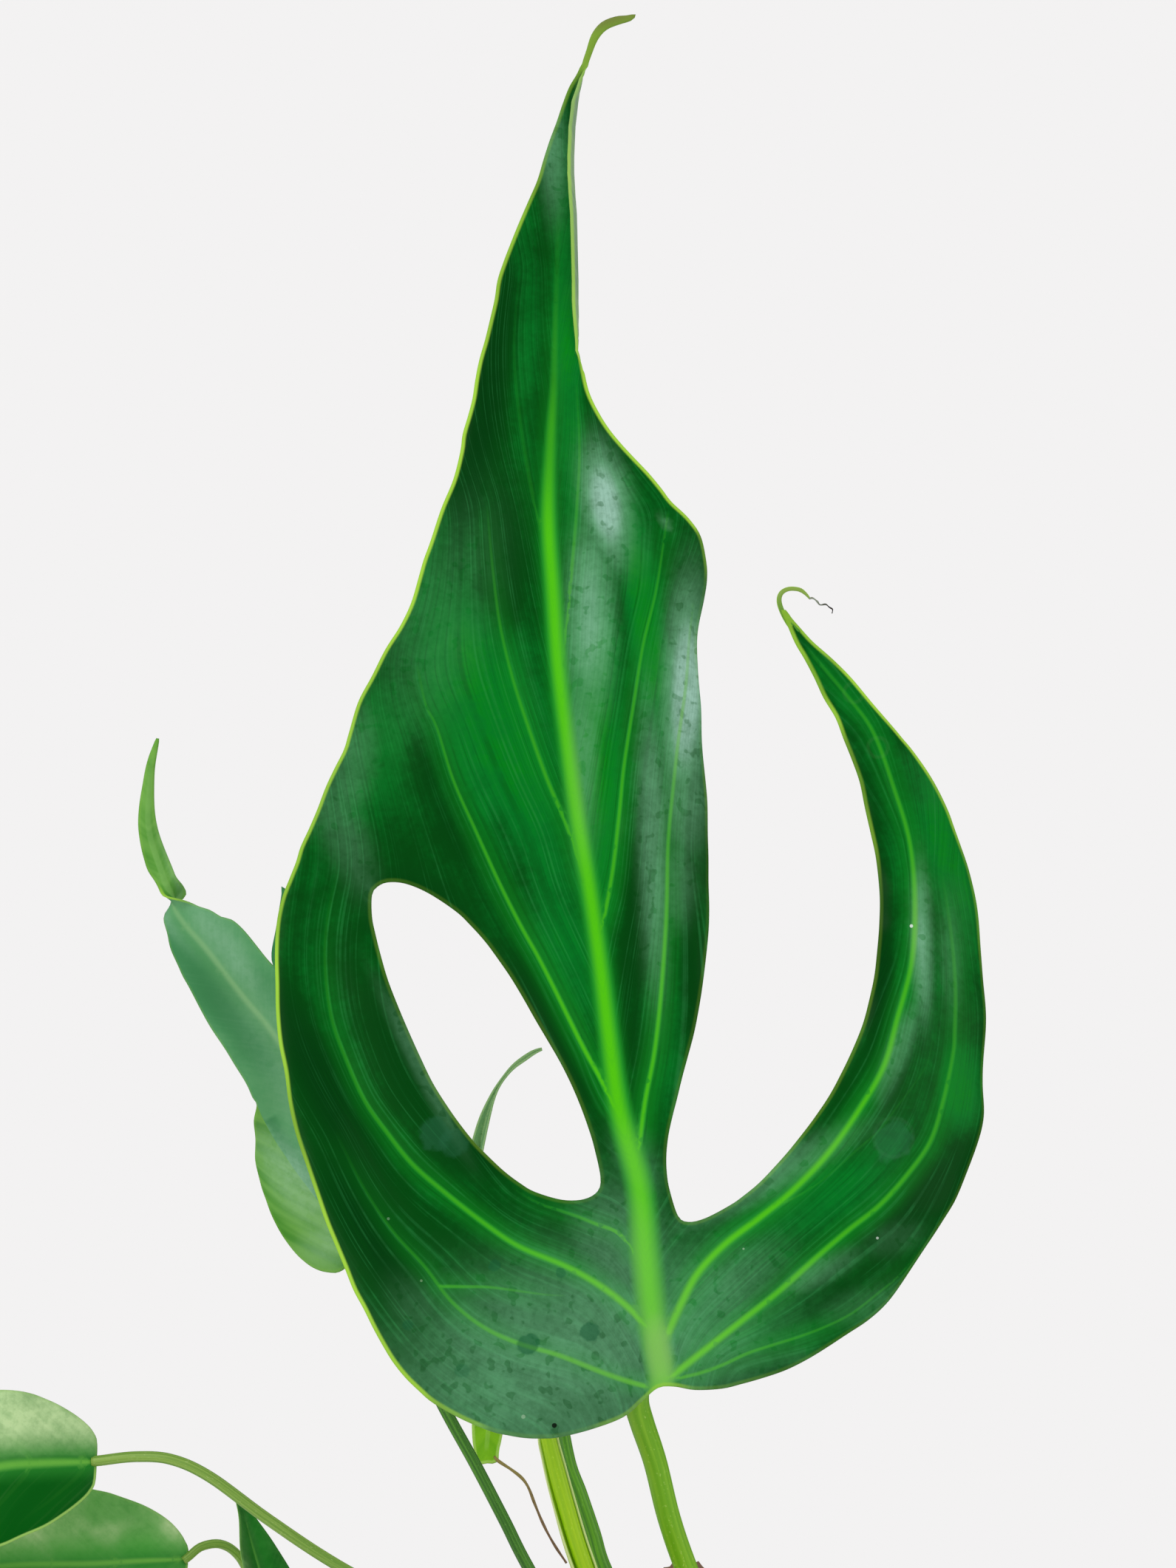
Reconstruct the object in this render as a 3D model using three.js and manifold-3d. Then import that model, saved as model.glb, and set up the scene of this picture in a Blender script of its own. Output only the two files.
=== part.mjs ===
// A potted flame monstera: one large split leaf, six lesser leaves, stem, bark mix and clay pot.
// Millimetres, +Z up, origin at the centre of the pot's underside. The plant faces -Y.
import * as THREE from 'three';
import { mergeVertices } from 'three/addons/utils/BufferGeometryUtils.js';
import Module from 'manifold-3d';

const wasm = await Module();
wasm.setup();

// Driving dimensions.
const POT_HEIGHT = 110;
const POT_RIM_RADIUS = 60;
const POT_FOOT_RADIUS = 41;
const POT_WALL = 4.5;
const POT_FLOOR = 7;
const RIM_BAND = 22;
const DRAIN_RADIUS = 4;
const DRAIN_RING = 21;
const DRAIN_HOLES = 3;
const MIX_TOP = 97;
const GAP = 0.3;
const LEAF_THICKNESS = 0.7;
const THREAD_RADIUS = 0.3;
const PLATE_SOFTNESS = 40;
const BARK_CHIPS = 42;
const GOLDEN_ANGLE = 2.39996;
const STALK_STEP = 4.5;
const STALK_SIDES = 8;
const POT_SIDES = 48;
const RANDOM_SEED = 20;

// The leaves are drawn as they look from this point: [across, up, depth] lies on the ray that meets
// the plane y = 0 at (across, up), as far back as depth says.
const EYE = new THREE.Vector3(-17.5, -383, 293);

function seen([across, up, depth]) {
  const reach = (depth - EYE.y) / -EYE.y;
  return new THREE.Vector3(EYE.x + (across - EYE.x) * reach, depth, EYE.z + (up - EYE.z) * reach);
}

// Colours from the photograph.
const COLOURS = {
  clay: [0xb5694a, 0.9],
  bark: [0x4a3426, 0.95],
  stem: [0x6f7a3c, 0.7],
  papery: [0x9c7a5c, 0.8],
  stalk: [0x73a528, 0.45],
  darkStalk: [0x4c8028, 0.45],
  sheath: [0xa9d421, 0.4],
  flame: [0x0a6630, 0.3],
  backLeaf: [0x3f8a52, 0.4],
  youngLeaf: [0x5f9a55, 0.4],
  underside: [0x86b85a, 0.5],
  juvenile: [0x3f9440, 0.35],
};

// The flame blade's margin as it is seen, [across, up], from the base notch round by the left.
const FLAME_LEFT_LOBE = [
  [-5, 187], [-8, 184.8], [-11.7, 182], [-17, 179.6], [-22.5, 178.5], [-28.5, 178.4], [-34.5, 179.5],
  [-39.5, 181.6], [-44.5, 184.4], [-49.5, 188.7], [-54, 194], [-57.2, 200.5], [-60.5, 207.7],
  [-63.5, 216], [-66.5, 226.8], [-69, 237.2], [-71.2, 247.6], [-72.2, 258], [-72, 268.5], [-70.5, 276.5],
];
const FLAME_LEFT_EDGE = [
  [-68, 282], [-64.7, 288.6], [-61.8, 295.7], [-59, 302], [-57.6, 307.2], [-55, 311.6], [-52.6, 316.5],
  [-49.7, 320.4], [-47.8, 324.5], [-46.8, 329], [-44.6, 335.4], [-42.5, 341], [-40.4, 346.2],
  [-39.4, 351.4], [-38.2, 357.5], [-37, 364], [-35.6, 371], [-34, 378.3], [-32.1, 384.5], [-29.1, 391.5],
];
const FLAME_DRIP_TIP = [
  [-26.1, 399], [-24, 406.2], [-21.7, 412.3], [-19.2, 418.1], [-17.9, 421.4], [-16.8, 424.7],
  [-15.1, 426.8], [-12.7, 427.8], [-10.7, 428], [-9.2, 428.2], [-10, 427.3], [-12.2, 426.6],
  [-14.3, 425.7], [-15.9, 423.9], [-17.2, 420.8], [-18.4, 417], [-19.4, 413], [-20, 408.6],
];
const FLAME_RIGHT_EDGE = [
  [-20.1, 403.4], [-19.9, 397], [-19.5, 389.3], [-19.4, 381.5], [-19.4, 375], [-19, 369.2], [-17.7, 364],
  [-15.4, 358], [-11.8, 352.5], [-7.5, 347], [-3.3, 342.1], [0.2, 339.9], [2.6, 336.7], [3.4, 332],
  [2.8, 325.4], [2, 319.8], [1.8, 314], [2.2, 306], [3, 295.7], [3.5, 285.3], [3.8, 275], [3.6, 266.5],
  [2.7, 257.4], [1.2, 249.2], [-0.8, 241.5], [-2.8, 234.6], [-3.8, 228],
];
const FLAME_BAY = [
  [-3.2, 221.4], [-1.8, 216.9], [0.1, 215.7], [3.2, 216.4], [7.8, 218.6], [12.7, 222.6], [17.8, 228.2],
  [22.8, 234.5], [27.4, 242.5], [31, 250.7], [33.1, 258.7], [33.8, 267.8], [33.3, 279.5], [31.7, 289.2],
  [29.4, 297.3], [26.3, 304.8], [22.9, 311.9], [19.3, 318.1],
];
const FLAME_HORN_TIP = [[17.1, 321.9], [16.4, 323.5], [17.1, 323.5], [18.1, 322.1], [19.4, 320.6]];
const FLAME_HORN_OUTER = [
  [22, 318], [25.5, 315], [28.6, 311.5], [32, 307.2], [35.6, 303], [39.8, 298.7], [42.8, 294],
  [45.7, 288.8], [48.3, 282.3], [50, 274.8], [51.3, 266.5], [52, 256.7], [52.1, 245], [51.3, 234.6],
  [49, 224.5], [45, 216.2], [40.2, 209], [34.4, 201.8], [27.9, 196.8], [20.8, 192.7], [13, 189.2],
  [6, 187.1], [1.3, 186.7], [-2.3, 187.2],
];
const FLAME_OUTLINE = [
  ...FLAME_LEFT_LOBE, ...FLAME_LEFT_EDGE, ...FLAME_DRIP_TIP, ...FLAME_RIGHT_EDGE,
  ...FLAME_BAY, ...FLAME_HORN_TIP, ...FLAME_HORN_OUTER,
];
const FLAME_HOLE = [
  [-55.5, 273.4], [-54.9, 275.1], [-52.8, 275.8], [-49.7, 275.4], [-45.5, 273.8], [-41, 270.4],
  [-35.8, 265], [-31.2, 258.7], [-26.8, 251.5], [-22.5, 244.3], [-18.9, 236.6], [-16.3, 229.4],
  [-15, 224], [-15.5, 221.1], [-18.2, 219.8], [-22.1, 219.6], [-27, 220.9], [-32.5, 224.2],
  [-37.7, 230], [-42.6, 236.7], [-46.8, 245], [-50.5, 254], [-53.4, 263.2], [-55, 269.7],
];
const FLAME_MIDRIB = [
  [-5.3, 189], [-5.6, 197], [-7.3, 210], [-9.1, 223], [-12, 236], [-14, 249], [-15.5, 262], [-17, 275],
  [-19.6, 288], [-21.1, 301], [-22.6, 314], [-23.9, 327], [-24.5, 340], [-24, 353], [-23.6, 366],
  [-23.2, 379], [-22.2, 392],
];
const FLAME_HORN_VEIN = [
  [-2, 200], [3, 208.5], [9.5, 214.5], [18, 222], [26, 231.5], [34.5, 246.5], [39, 262], [40, 274],
  [37.5, 291], [31, 304],
];
const FLAME_LOBE_VEIN = [
  [-9, 201], [-14.3, 205.4], [-26, 210.8], [-37.7, 215.8], [-48, 225.5], [-57, 238], [-62, 252],
  [-63.5, 266],
];
// How far back the flame blade stands at places on it, [across, up, depth].
const FLAME_DEPTHS = [
  [-5, 187, -30], [-5.5, 197, -30], [-9, 223, -24], [-14, 249, -15], [-19.5, 288, -4], [-24, 327, 6],
  [-24, 353, 12], [-23, 379, 18], [-21.5, 405, 22], [-19.5, 416, 22], [-10, 428, 18], [-29, 391.5, 17],
  [-37, 364, 12], [-42.5, 341, 7], [-19.5, 389, 18], [-18.5, 366, 13], [-49.5, 320.5, 1],
  [-59, 302, -4], [-68, 282, -9], [-72, 262, -14], [-69.5, 238, -22], [-63.5, 216, -32],
  [-54, 194, -42], [-42, 182.5, -47], [-28.5, 178.5, -48], [-15, 180.5, -42], [-36, 198, -39],
  [-48, 218, -30], [-60, 245, -18], [-27, 222, -26], [-40, 234, -22], [-51, 256, -15], [-54, 275, -9],
  [-36, 265, -10], [-22, 244, -17], [-38, 290, -6], [-16, 224, -25], [-9, 310, 0], [-9, 285, -7],
  [3, 332, 10], [-7, 346, 11], [3.5, 290, 3], [3.5, 266, -4], [-1, 241, -16], [-3.5, 225, -22],
  [0, 216, -25], [9, 214, -26], [12.5, 222.5, -22], [26, 231.5, -22], [27, 242.5, -16], [37, 255, -13],
  [33.5, 268, -3], [39.5, 275, -3], [31.5, 289, 6], [35, 299, 8], [23, 312, 15], [18, 322, 18],
  [20, 326, 18], [29, 311, 16], [45, 289, 10], [51, 262, 2], [50, 232, -10], [40, 209, -20],
  [21, 193, -28], [5, 187, -31], [25, 210, -26],
];
// The hooked, withered thread at the horn's tip, [across, up, depth past the blade's].
const HORN_THREAD = [
  [17.2, 322.4, 0], [16.4, 324, 0], [16.3, 326, 0], [17.9, 327.2, 0], [19.8, 326.7, 0],
  [21.4, 325.7, 0], [22.8, 325.2, 0.5], [24, 324.4, 1], [25.2, 324.2, 1], [25.5, 322.9, 1],
];

// Lesser leaves: the line that each midrib follows, [across, up, depth], from base to tip.
const TWISTED_SPINE = [
  [-59.8, 222.9, 31], [-66.3, 238.5, 33], [-72.5, 248.8, 34], [-78.1, 255.7, 35], [-84.2, 263.6, 36],
  [-89.4, 269.9, 38], [-92.2, 277, 40], [-94.6, 285, 42], [-94.4, 294, 42], [-93.1, 301.3, 42],
];
const YOUNG_SPINE = [
  [-25, 186.5, 2], [-29.9, 198.2, 10], [-34.1, 211.2, 17], [-36.3, 222.9, 22], [-35.2, 232, 24],
  [-33.3, 238.1, 25], [-31, 243.3, 25], [-28.3, 245.8, 25], [-26.3, 246.4, 25], [-24.1, 246.3, 25],
];
const HANGING_SPINE = [
  [-24.4, 212.5, 33], [-25.5, 214.5, 40], [-28.5, 212.5, 50], [-31, 204, 58], [-33, 194, 60],
  [-34.5, 184, 57], [-35.2, 178, 54], [-35.2, 173.7, 51],
];
const HANGING_THREAD = [
  [-35.2, 174.6, 51.5], [-33.6, 173.8, 51], [-30.8, 172.1, 50], [-29, 170.8, 49], [-27.9, 169.1, 48],
  [-26.9, 166.5, 47], [-25.4, 162.9, 46], [-23.6, 159.5, 45], [-21.3, 156, 45],
];
const UPPER_SPINE = [
  [-104.1, 173.8, -22], [-113.1, 173.6, -25], [-120.9, 173, -27], [-131, 170.5, -28],
  [-143, 165, -27], [-155, 156, -24], [-162, 148, -20],
];
const LOWER_SPINE = [
  [-88, 156.7, -9], [-96, 156.4, -12], [-104.7, 155.9, -14], [-120.9, 155.4, -17], [-134, 152, -17],
  [-147, 145, -14], [-156, 134, -9],
];
const SMALL_SPINE = [
  [-70, 119, -12], [-70.4, 130, -15], [-72, 141, -15], [-74.8, 152.5, -13], [-78.6, 165.6, -9],
];

// Flat outlines of the lesser leaves, [across, along], from the base round by the left.
const TWISTED_OUTLINE = [
  [0, 0], [-5.5, -10], [-11.5, -15.5], [-15.8, -11.5], [-17, 0], [-15, 12], [-12, 24], [-9.8, 36],
  [-8.4, 46], [-7, 55], [-4, 61], [-2.5, 68], [-2.2, 76], [-1.8, 84], [-0.9, 91], [-0.3, 97.5], [0.3, 97.5],
  [1.1, 91], [2.1, 84], [2.8, 76], [3.6, 68], [5.8, 61], [8.4, 56], [8.8, 50], [8.4, 41.5], [13, 45],
  [20.5, 53], [21.5, 45], [20, 34], [18.5, 22], [16.5, 8], [12, -8], [6, -9],
];
const HANGING_OUTLINE = [
  [0, 0], [-4, -5], [-9, -7], [-13.5, -3], [-15.5, 6], [-16, 16], [-14.5, 27], [-11, 35], [-12, 26],
  [-10.5, 18], [-7.5, 20], [-6.6, 30], [-5.6, 42], [-4.4, 52], [-3.2, 60], [-1.6, 68.2], [1.4, 68.2],
  [3.2, 60], [4.4, 51], [5.8, 40], [7, 30], [8, 22], [11, 21], [12.4, 28], [12, 38], [15, 28], [16, 16],
  [15.5, 5], [13, -4], [8.5, -7], [4, -5],
];
// Half-widths of the leaves that are alike on both sides, [along, half-width].
const YOUNG_WIDTHS = [
  [0, 0.8], [5, 3.2], [12, 5.8], [20, 7], [30, 6.4], [40, 4.6], [48, 3], [54, 1.8], [58, 0.9], [62, 0.5],
  [70, 0.35],
];
const UPPER_WIDTHS = [
  [0, 2.7], [0.7, 4.9], [2.2, 6.6], [4.8, 8.7], [8.2, 10.6], [12.5, 12], [17, 12.8], [24, 13.2],
  [34, 12.2], [44, 9.8], [53, 6.4], [60, 3], [65, 0.9],
];
const LOWER_WIDTHS = [
  [0, 1.5], [0.6, 2.8], [1.7, 4.4], [3.9, 6.5], [7.2, 8.6], [11, 10.3], [15, 11.6], [21, 12.4],
  [32, 12], [44, 9.8], [55, 6.8], [65, 3.4], [74, 0.9],
];
const SMALL_WIDTHS = [
  [0, 1], [2, 3.8], [6, 6.6], [13, 8.6], [22, 8.8], [31, 7], [39, 4.4], [45, 1.9], [49.5, 0.5],
];

// Lines of the stalks, [across, up, depth], from the stem up to the blade, and their radii.
const FLAME_STALK = {
  path: [
    [13, 120, 2], [10, 129, -6], [5, 142, -10], [-0.3, 155.2, -14], [-3.3, 164, -18], [-5.7, 173.7, -22],
    [-7.4, 180.4, -25], [-7.6, 184.5, -26.4], [-6.2, 188.4, -28],
  ],
  foot: 3.4,
  middle: 1.95,
  head: 2,
};
const TWISTED_STALK = {
  path: [
    [9.5, 120, 7.5], [-3, 126, 10], [-18, 138, 11], [-28, 155.2, 14], [-32.2, 163.5, 16], [-37.3, 173.3, 19],
    [-42.8, 183.3, 22], [-48.6, 195, 26], [-54, 207.5, 29], [-58.9, 220.6, 30.9],
  ],
  foot: 2.4,
  middle: 1.1,
  head: 1.1,
};
const YOUNG_STALK = {
  path: [
    [6, 126, 5.5], [-5.5, 133, 3], [-13.6, 144, 2], [-18.4, 156.9, 1], [-20.7, 165.7, 1],
    [-22.6, 173.5, 1], [-23.8, 179, 1], [-24.9, 185.4, 1.8],
  ],
  foot: 2.8,
  middle: 1.5,
  head: 1.1,
};
const HANGING_STALK = {
  path: [
    [8, 127, 9.5], [-1.5, 134.5, 12], [-9.5, 145, 12.5], [-14.7, 155.2, 13], [-16.6, 161.3, 14],
    [-18.9, 168.1, 15], [-21.1, 174.4, 17], [-23, 186, 22], [-24, 200, 28], [-24.4, 210.9, 32.2],
  ],
  foot: 2.2,
  middle: 1.35,
  head: 1.3,
};
const UPPER_STALK = {
  path: [
    [12, 108, 1], [2, 114, -7], [-20, 131, -16], [-42, 145, -20], [-61, 155.3, -22], [-73.5, 163.5, -23],
    [-83.9, 171.1, -23], [-90.7, 174.2, -22.5], [-97, 174.7, -22], [-103.4, 174, -22],
  ],
  foot: 2,
  middle: 1.05,
  head: 0.95,
};
const LOWER_STALK = {
  path: [
    [10, 112, 6], [0, 116.5, 2], [-24, 126, -1], [-50, 134, -2], [-68, 142, -3], [-75.5, 151.5, -4],
    [-78.9, 157.2, -5], [-82, 159.3, -6.5], [-85.4, 158.9, -8], [-87.6, 157.2, -9],
  ],
  foot: 1.7,
  middle: 0.85,
  head: 0.8,
};
const SMALL_STALK = {
  path: [
    [12, 104, -2], [2, 107, -7], [-18, 111, -11], [-40, 114.5, -12], [-58, 115.6, -12], [-67, 116.2, -12],
    [-70.3, 118.3, -12],
  ],
  foot: 1.6,
  middle: 0.9,
  head: 0.85,
};

// The stem and its aerial roots, [x, y, z] and radius.
const STEM = [
  [17, 4, 45, 6], [17, 4, 80, 6.4], [16.5, 4, 99, 6.6], [15, 4.5, 112, 6.3], [11, 6, 124, 5.8],
  [6, 8, 134, 5], [2.5, 9.5, 142, 3.8], [1.5, 10, 146, 2],
];
const STEM_SCARS = [101, 107, 113.5, 120, 127];
const ROOTS = [
  [[19, 3, 117, 1.8], [26, -2, 113, 1.6], [30, -6, 104, 1.4], [31, -8, 90, 1.2], [31, -8, 72, 0.9]],
  [[18, 7, 110, 1.7], [23, 14, 107, 1.5], [25, 19, 99, 1.3], [25.5, 21, 82, 1]],
];
// The papery sheath behind the stem's top, [across, up, depth].
const DRY_SHEATH_SPINE = [
  [10.5, 121, 11.2], [6.5, 131, 17], [2.2, 143, 18.5], [0, 150, 19], [-0.6, 156.6, 20],
];
const DRY_SHEATH_WIDTHS = [[0, 3], [5, 6.5], [12, 9], [22, 9.6], [30, 8.6], [34.5, 5.5], [37, 2]];

// Small helpers.
let randomState = RANDOM_SEED;
function random() {
  randomState = (randomState * 48271) % 2147483647;
  return randomState / 2147483647;
}

function ramp(stops, at) {
  if (at <= stops[0][0]) return stops[0][1];
  for (let i = 1; i < stops.length; i += 1) {
    const [from, low] = stops[i - 1];
    const [to, high] = stops[i];
    if (at <= to) return low + (high - low) * THREE.MathUtils.smoothstep(at, from, to);
  }
  return stops[stops.length - 1][1];
}

function toSolid(geometry) {
  const bare = geometry.clone();
  bare.deleteAttribute('normal');
  bare.deleteAttribute('uv');
  const merged = mergeVertices(bare, 1e-4);
  return new wasm.Manifold(new wasm.Mesh({
    numProp: 3,
    vertProperties: new Float32Array(merged.attributes.position.array),
    triVerts: new Uint32Array(merged.index.array),
  }));
}

function toGeometry(solid) {
  const mesh = solid.getMesh();
  const geometry = new THREE.BufferGeometry();
  geometry.setAttribute('position', new THREE.BufferAttribute(mesh.vertProperties, 3));
  geometry.setIndex(new THREE.BufferAttribute(mesh.triVerts, 1));
  return geometry;
}

function largest(solid) {
  return solid.decompose().reduce((best, body) => (body.volume() > best.volume() ? body : best));
}

// Splits a flat region into triangles: boundary edges stay, and points inside are added one by one.
const turn = (a, b, c) => (b.x - a.x) * (c.y - a.y) - (b.y - a.y) * (c.x - a.x);

function insideCircle(a, b, c, p) {
  const row = [a, b, c].map((q) => [q.x - p.x, q.y - p.y, (q.x - p.x) ** 2 + (q.y - p.y) ** 2]);
  const [d, e, f] = row;
  return d[0] * (e[1] * f[2] - e[2] * f[1]) - d[1] * (e[0] * f[2] - e[2] * f[0])
    + d[2] * (e[0] * f[1] - e[1] * f[0]) > 1e-7;
}

class FlatMesh {
  constructor(rings) {
    this.points = rings.flat();
    this.faces = new Set();
    this.byEdge = new Map();
    const copies = rings.map((ring) => ring.slice());
    THREE.ShapeUtils.triangulateShape(copies[0], copies.slice(1)).forEach(([a, b, c]) => {
      const [p, q, r] = [a, b, c].map((i) => this.points[i]);
      this.add(turn(p, q, r) > 0 ? [a, b, c] : [a, c, b]);
    });
    this.settle([...this.faces].flatMap((face) => this.sides(face)));
  }

  sides([a, b, c]) {
    return [[a, b], [b, c], [c, a]];
  }

  add(face) {
    this.faces.add(face);
    this.sides(face).forEach(([a, b]) => this.byEdge.set(`${a},${b}`, face));
  }

  remove(face) {
    this.faces.delete(face);
    this.sides(face).forEach(([a, b]) => this.byEdge.delete(`${a},${b}`));
  }

  settle(edges) {
    while (edges.length) {
      const [a, b] = edges.pop();
      const near = this.byEdge.get(`${a},${b}`);
      const far = this.byEdge.get(`${b},${a}`);
      if (!near || !far) continue;
      const c = near.find((i) => i !== a && i !== b);
      const d = far.find((i) => i !== a && i !== b);
      const [pa, pb, pc, pd] = [a, b, c, d].map((i) => this.points[i]);
      const flippable = turn(pc, pd, pb) > 1e-6 && turn(pd, pc, pa) > 1e-6;
      if (!flippable || !insideCircle(pa, pb, pc, pd)) continue;
      this.remove(near);
      this.remove(far);
      this.add([c, a, d]);
      this.add([d, b, c]);
      edges.push([a, d], [d, b], [b, c], [c, a]);
    }
  }

  insert(point) {
    const host = [...this.faces].find((face) => this.sides(face)
      .every(([a, b]) => turn(this.points[a], this.points[b], point) > 1e-3));
    if (!host) return;
    const index = this.points.push(point) - 1;
    this.remove(host);
    this.sides(host).forEach(([a, b]) => this.add([a, b, index]));
    this.settle(this.sides(host));
  }
}

// Points along a drawn outline: every given one, and more where they stand far apart.
function trace(points, step, closed = true) {
  const corners = points.map(([x, y]) => new THREE.Vector3(x, y, 0));
  const curve = new THREE.CatmullRomCurve3(corners, closed, 'catmullrom', 0.5);
  const spans = closed ? points.length : points.length - 1;
  const result = [];
  for (let i = 0; i < spans; i += 1) {
    const length = corners[i].distanceTo(corners[(i + 1) % points.length]);
    const parts = Math.max(1, Math.round(length / step));
    for (let j = 0; j < parts; j += 1) {
      const p = curve.getPoint((i + j / parts) / spans);
      result.push(new THREE.Vector2(p.x, p.y));
    }
  }
  return result;
}

function gapToRing(point, ring) {
  let least = Infinity;
  ring.forEach((a, i) => {
    const b = ring[(i + 1) % ring.length];
    const along = b.clone().sub(a);
    const t = THREE.MathUtils.clamp(point.clone().sub(a).dot(along) / along.lengthSq(), 0, 1);
    least = Math.min(least, point.distanceTo(a.clone().addScaledVector(along, t)));
  });
  return least;
}

function isInside(point, ring) {
  let inside = false;
  ring.forEach((a, i) => {
    const b = ring[(i + 1) % ring.length];
    const crosses = (a.y > point.y) !== (b.y > point.y);
    if (crosses && point.x < ((b.x - a.x) * (point.y - a.y)) / (b.y - a.y) + a.x) inside = !inside;
  });
  return inside;
}

// Fills the rings with points: first along the given ribs, then on a triangular grid.
function fill(rings, ribs, spacing) {
  const keep = [];
  const clear = (p, margin) => isInside(p, rings[0]) && rings.slice(1).every((hole) => !isInside(p, hole))
    && rings.every((ring) => gapToRing(p, ring) > margin);
  const add = (p, margin, apart) => {
    if (clear(p, margin) && keep.every((q) => p.distanceTo(q) > apart)) keep.push(p);
  };
  ribs.forEach((p) => add(p, spacing * 0.3, spacing * 0.3));
  const box = new THREE.Box2().setFromPoints(rings[0]);
  const rise = spacing * Math.sqrt(0.75);
  let row = 0;
  for (let y = box.min.y + 0.37; y < box.max.y; y += rise) {
    const shift = row % 2 ? spacing / 2 : 0.11;
    for (let x = box.min.x + shift; x < box.max.x; x += spacing) {
      add(new THREE.Vector2(x, y), spacing * 0.5, spacing * 0.66);
    }
    row += 1;
  }
  return keep;
}

// A blade: a flat outline laid on a curved surface and given its thickness, with the same triangles
// on both faces. place(across, along) is the middle surface, rib(across, along) adds to the back.
function blade({ outline, holes = [], ribs = [], spacing, place, rib = () => 0, grow = 0 }) {
  const rings = [outline, ...holes];
  const flat = new FlatMesh(rings);
  fill(rings, ribs, spacing).forEach((point) => flat.insert(point));
  const half = LEAF_THICKNESS / 2 + grow;
  const step = 0.15;
  const count = flat.points.length;
  const positions = new Float32Array(count * 6);
  flat.points.forEach(({ x, y }, i) => {
    const middle = place(x, y);
    const across = place(x + step, y).sub(place(x - step, y));
    const along = place(x, y + step).sub(place(x, y - step));
    const normal = across.cross(along).normalize();
    middle.clone().addScaledVector(normal, half).toArray(positions, i * 3);
    middle.clone().addScaledVector(normal, -half - rib(x, y)).toArray(positions, (count + i) * 3);
  });
  const index = [];
  flat.faces.forEach(([a, b, c]) => {
    index.push(a, b, c, count + c, count + b, count + a);
    flat.sides([a, b, c]).forEach(([p, q]) => {
      if (!flat.byEdge.has(`${q},${p}`)) index.push(q, p, count + p, q, count + p, count + q);
    });
  });
  const geometry = new THREE.BufferGeometry();
  geometry.setAttribute('position', new THREE.BufferAttribute(positions, 3));
  geometry.setIndex(index);
  return geometry;
}

// A surface through scattered [across, up, depth] places: the thin plate that bends least.
function thinPlate(places) {
  const size = places.length + 3;
  const kernel = (d2) => (d2 > 0 ? d2 * Math.log(d2) : 0);
  const matrix = places.map(([x, y, depth], i) => [
    ...places.map(([p, q], j) => kernel((x - p) ** 2 + (y - q) ** 2) + (i === j ? PLATE_SOFTNESS : 0)),
    1, x, y, depth,
  ]);
  [() => 1, ([x]) => x, ([, y]) => y].forEach((term) => {
    matrix.push([...places.map(term), 0, 0, 0, 0]);
  });
  for (let i = 0; i < size; i += 1) {
    let pivot = i;
    for (let j = i + 1; j < size; j += 1) {
      if (Math.abs(matrix[j][i]) > Math.abs(matrix[pivot][i])) pivot = j;
    }
    [matrix[i], matrix[pivot]] = [matrix[pivot], matrix[i]];
    for (let j = 0; j < size; j += 1) {
      if (j === i) continue;
      const factor = matrix[j][i] / matrix[i][i];
      for (let k = i; k <= size; k += 1) matrix[j][k] -= factor * matrix[i][k];
    }
  }
  const weights = matrix.map((row, i) => row[size] / row[i]);
  return (x, y) => places.reduce(
    (sum, [p, q], i) => sum + weights[i] * kernel((x - p) ** 2 + (y - q) ** 2),
    weights[size - 3] + weights[size - 2] * x + weights[size - 1] * y,
  );
}

// A leaf's surface round its midrib: turned about it, folded along it and curled across it.
function aroundSpine(spine, { face, twist = () => 0, fold = () => 0, curlLeft = () => 0, curlRight = () => 0 }) {
  const curve = new THREE.CatmullRomCurve3(spine.map(seen), false, 'catmullrom', 0.5);
  curve.arcLengthDivisions = 400;
  const length = curve.getLength();
  const surface = (across, along) => {
    const t = THREE.MathUtils.clamp(along / length, 0, 1);
    const tangent = curve.getTangentAt(t);
    const centre = curve.getPointAt(t).addScaledVector(tangent, along - t * length);
    const up = face.clone().addScaledVector(tangent, -face.dot(tangent)).normalize();
    up.applyAxisAngle(tangent, twist(along));
    const right = tangent.clone().cross(up);
    const bend = across > 0 ? curlRight(along) : curlLeft(along);
    const start = fold(along);
    const width = Math.abs(across);
    const end = start + bend * width;
    const flat = Math.abs(bend) < 1e-4;
    const out = flat ? width * Math.cos(start) : (Math.sin(end) - Math.sin(start)) / bend;
    const lift = flat ? width * Math.sin(start) : (Math.cos(start) - Math.cos(end)) / bend;
    return centre.addScaledVector(right, out * Math.sign(across)).addScaledVector(up, lift);
  };
  return { surface, length };
}

// A leaf outline from half-widths, alike on both sides.
function evenOutline(widths, step) {
  const left = widths.map(([along, half]) => [-half, along]);
  const right = widths.map(([along, half]) => [half, along]).reverse();
  return trace([...left, ...right], step);
}

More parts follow.
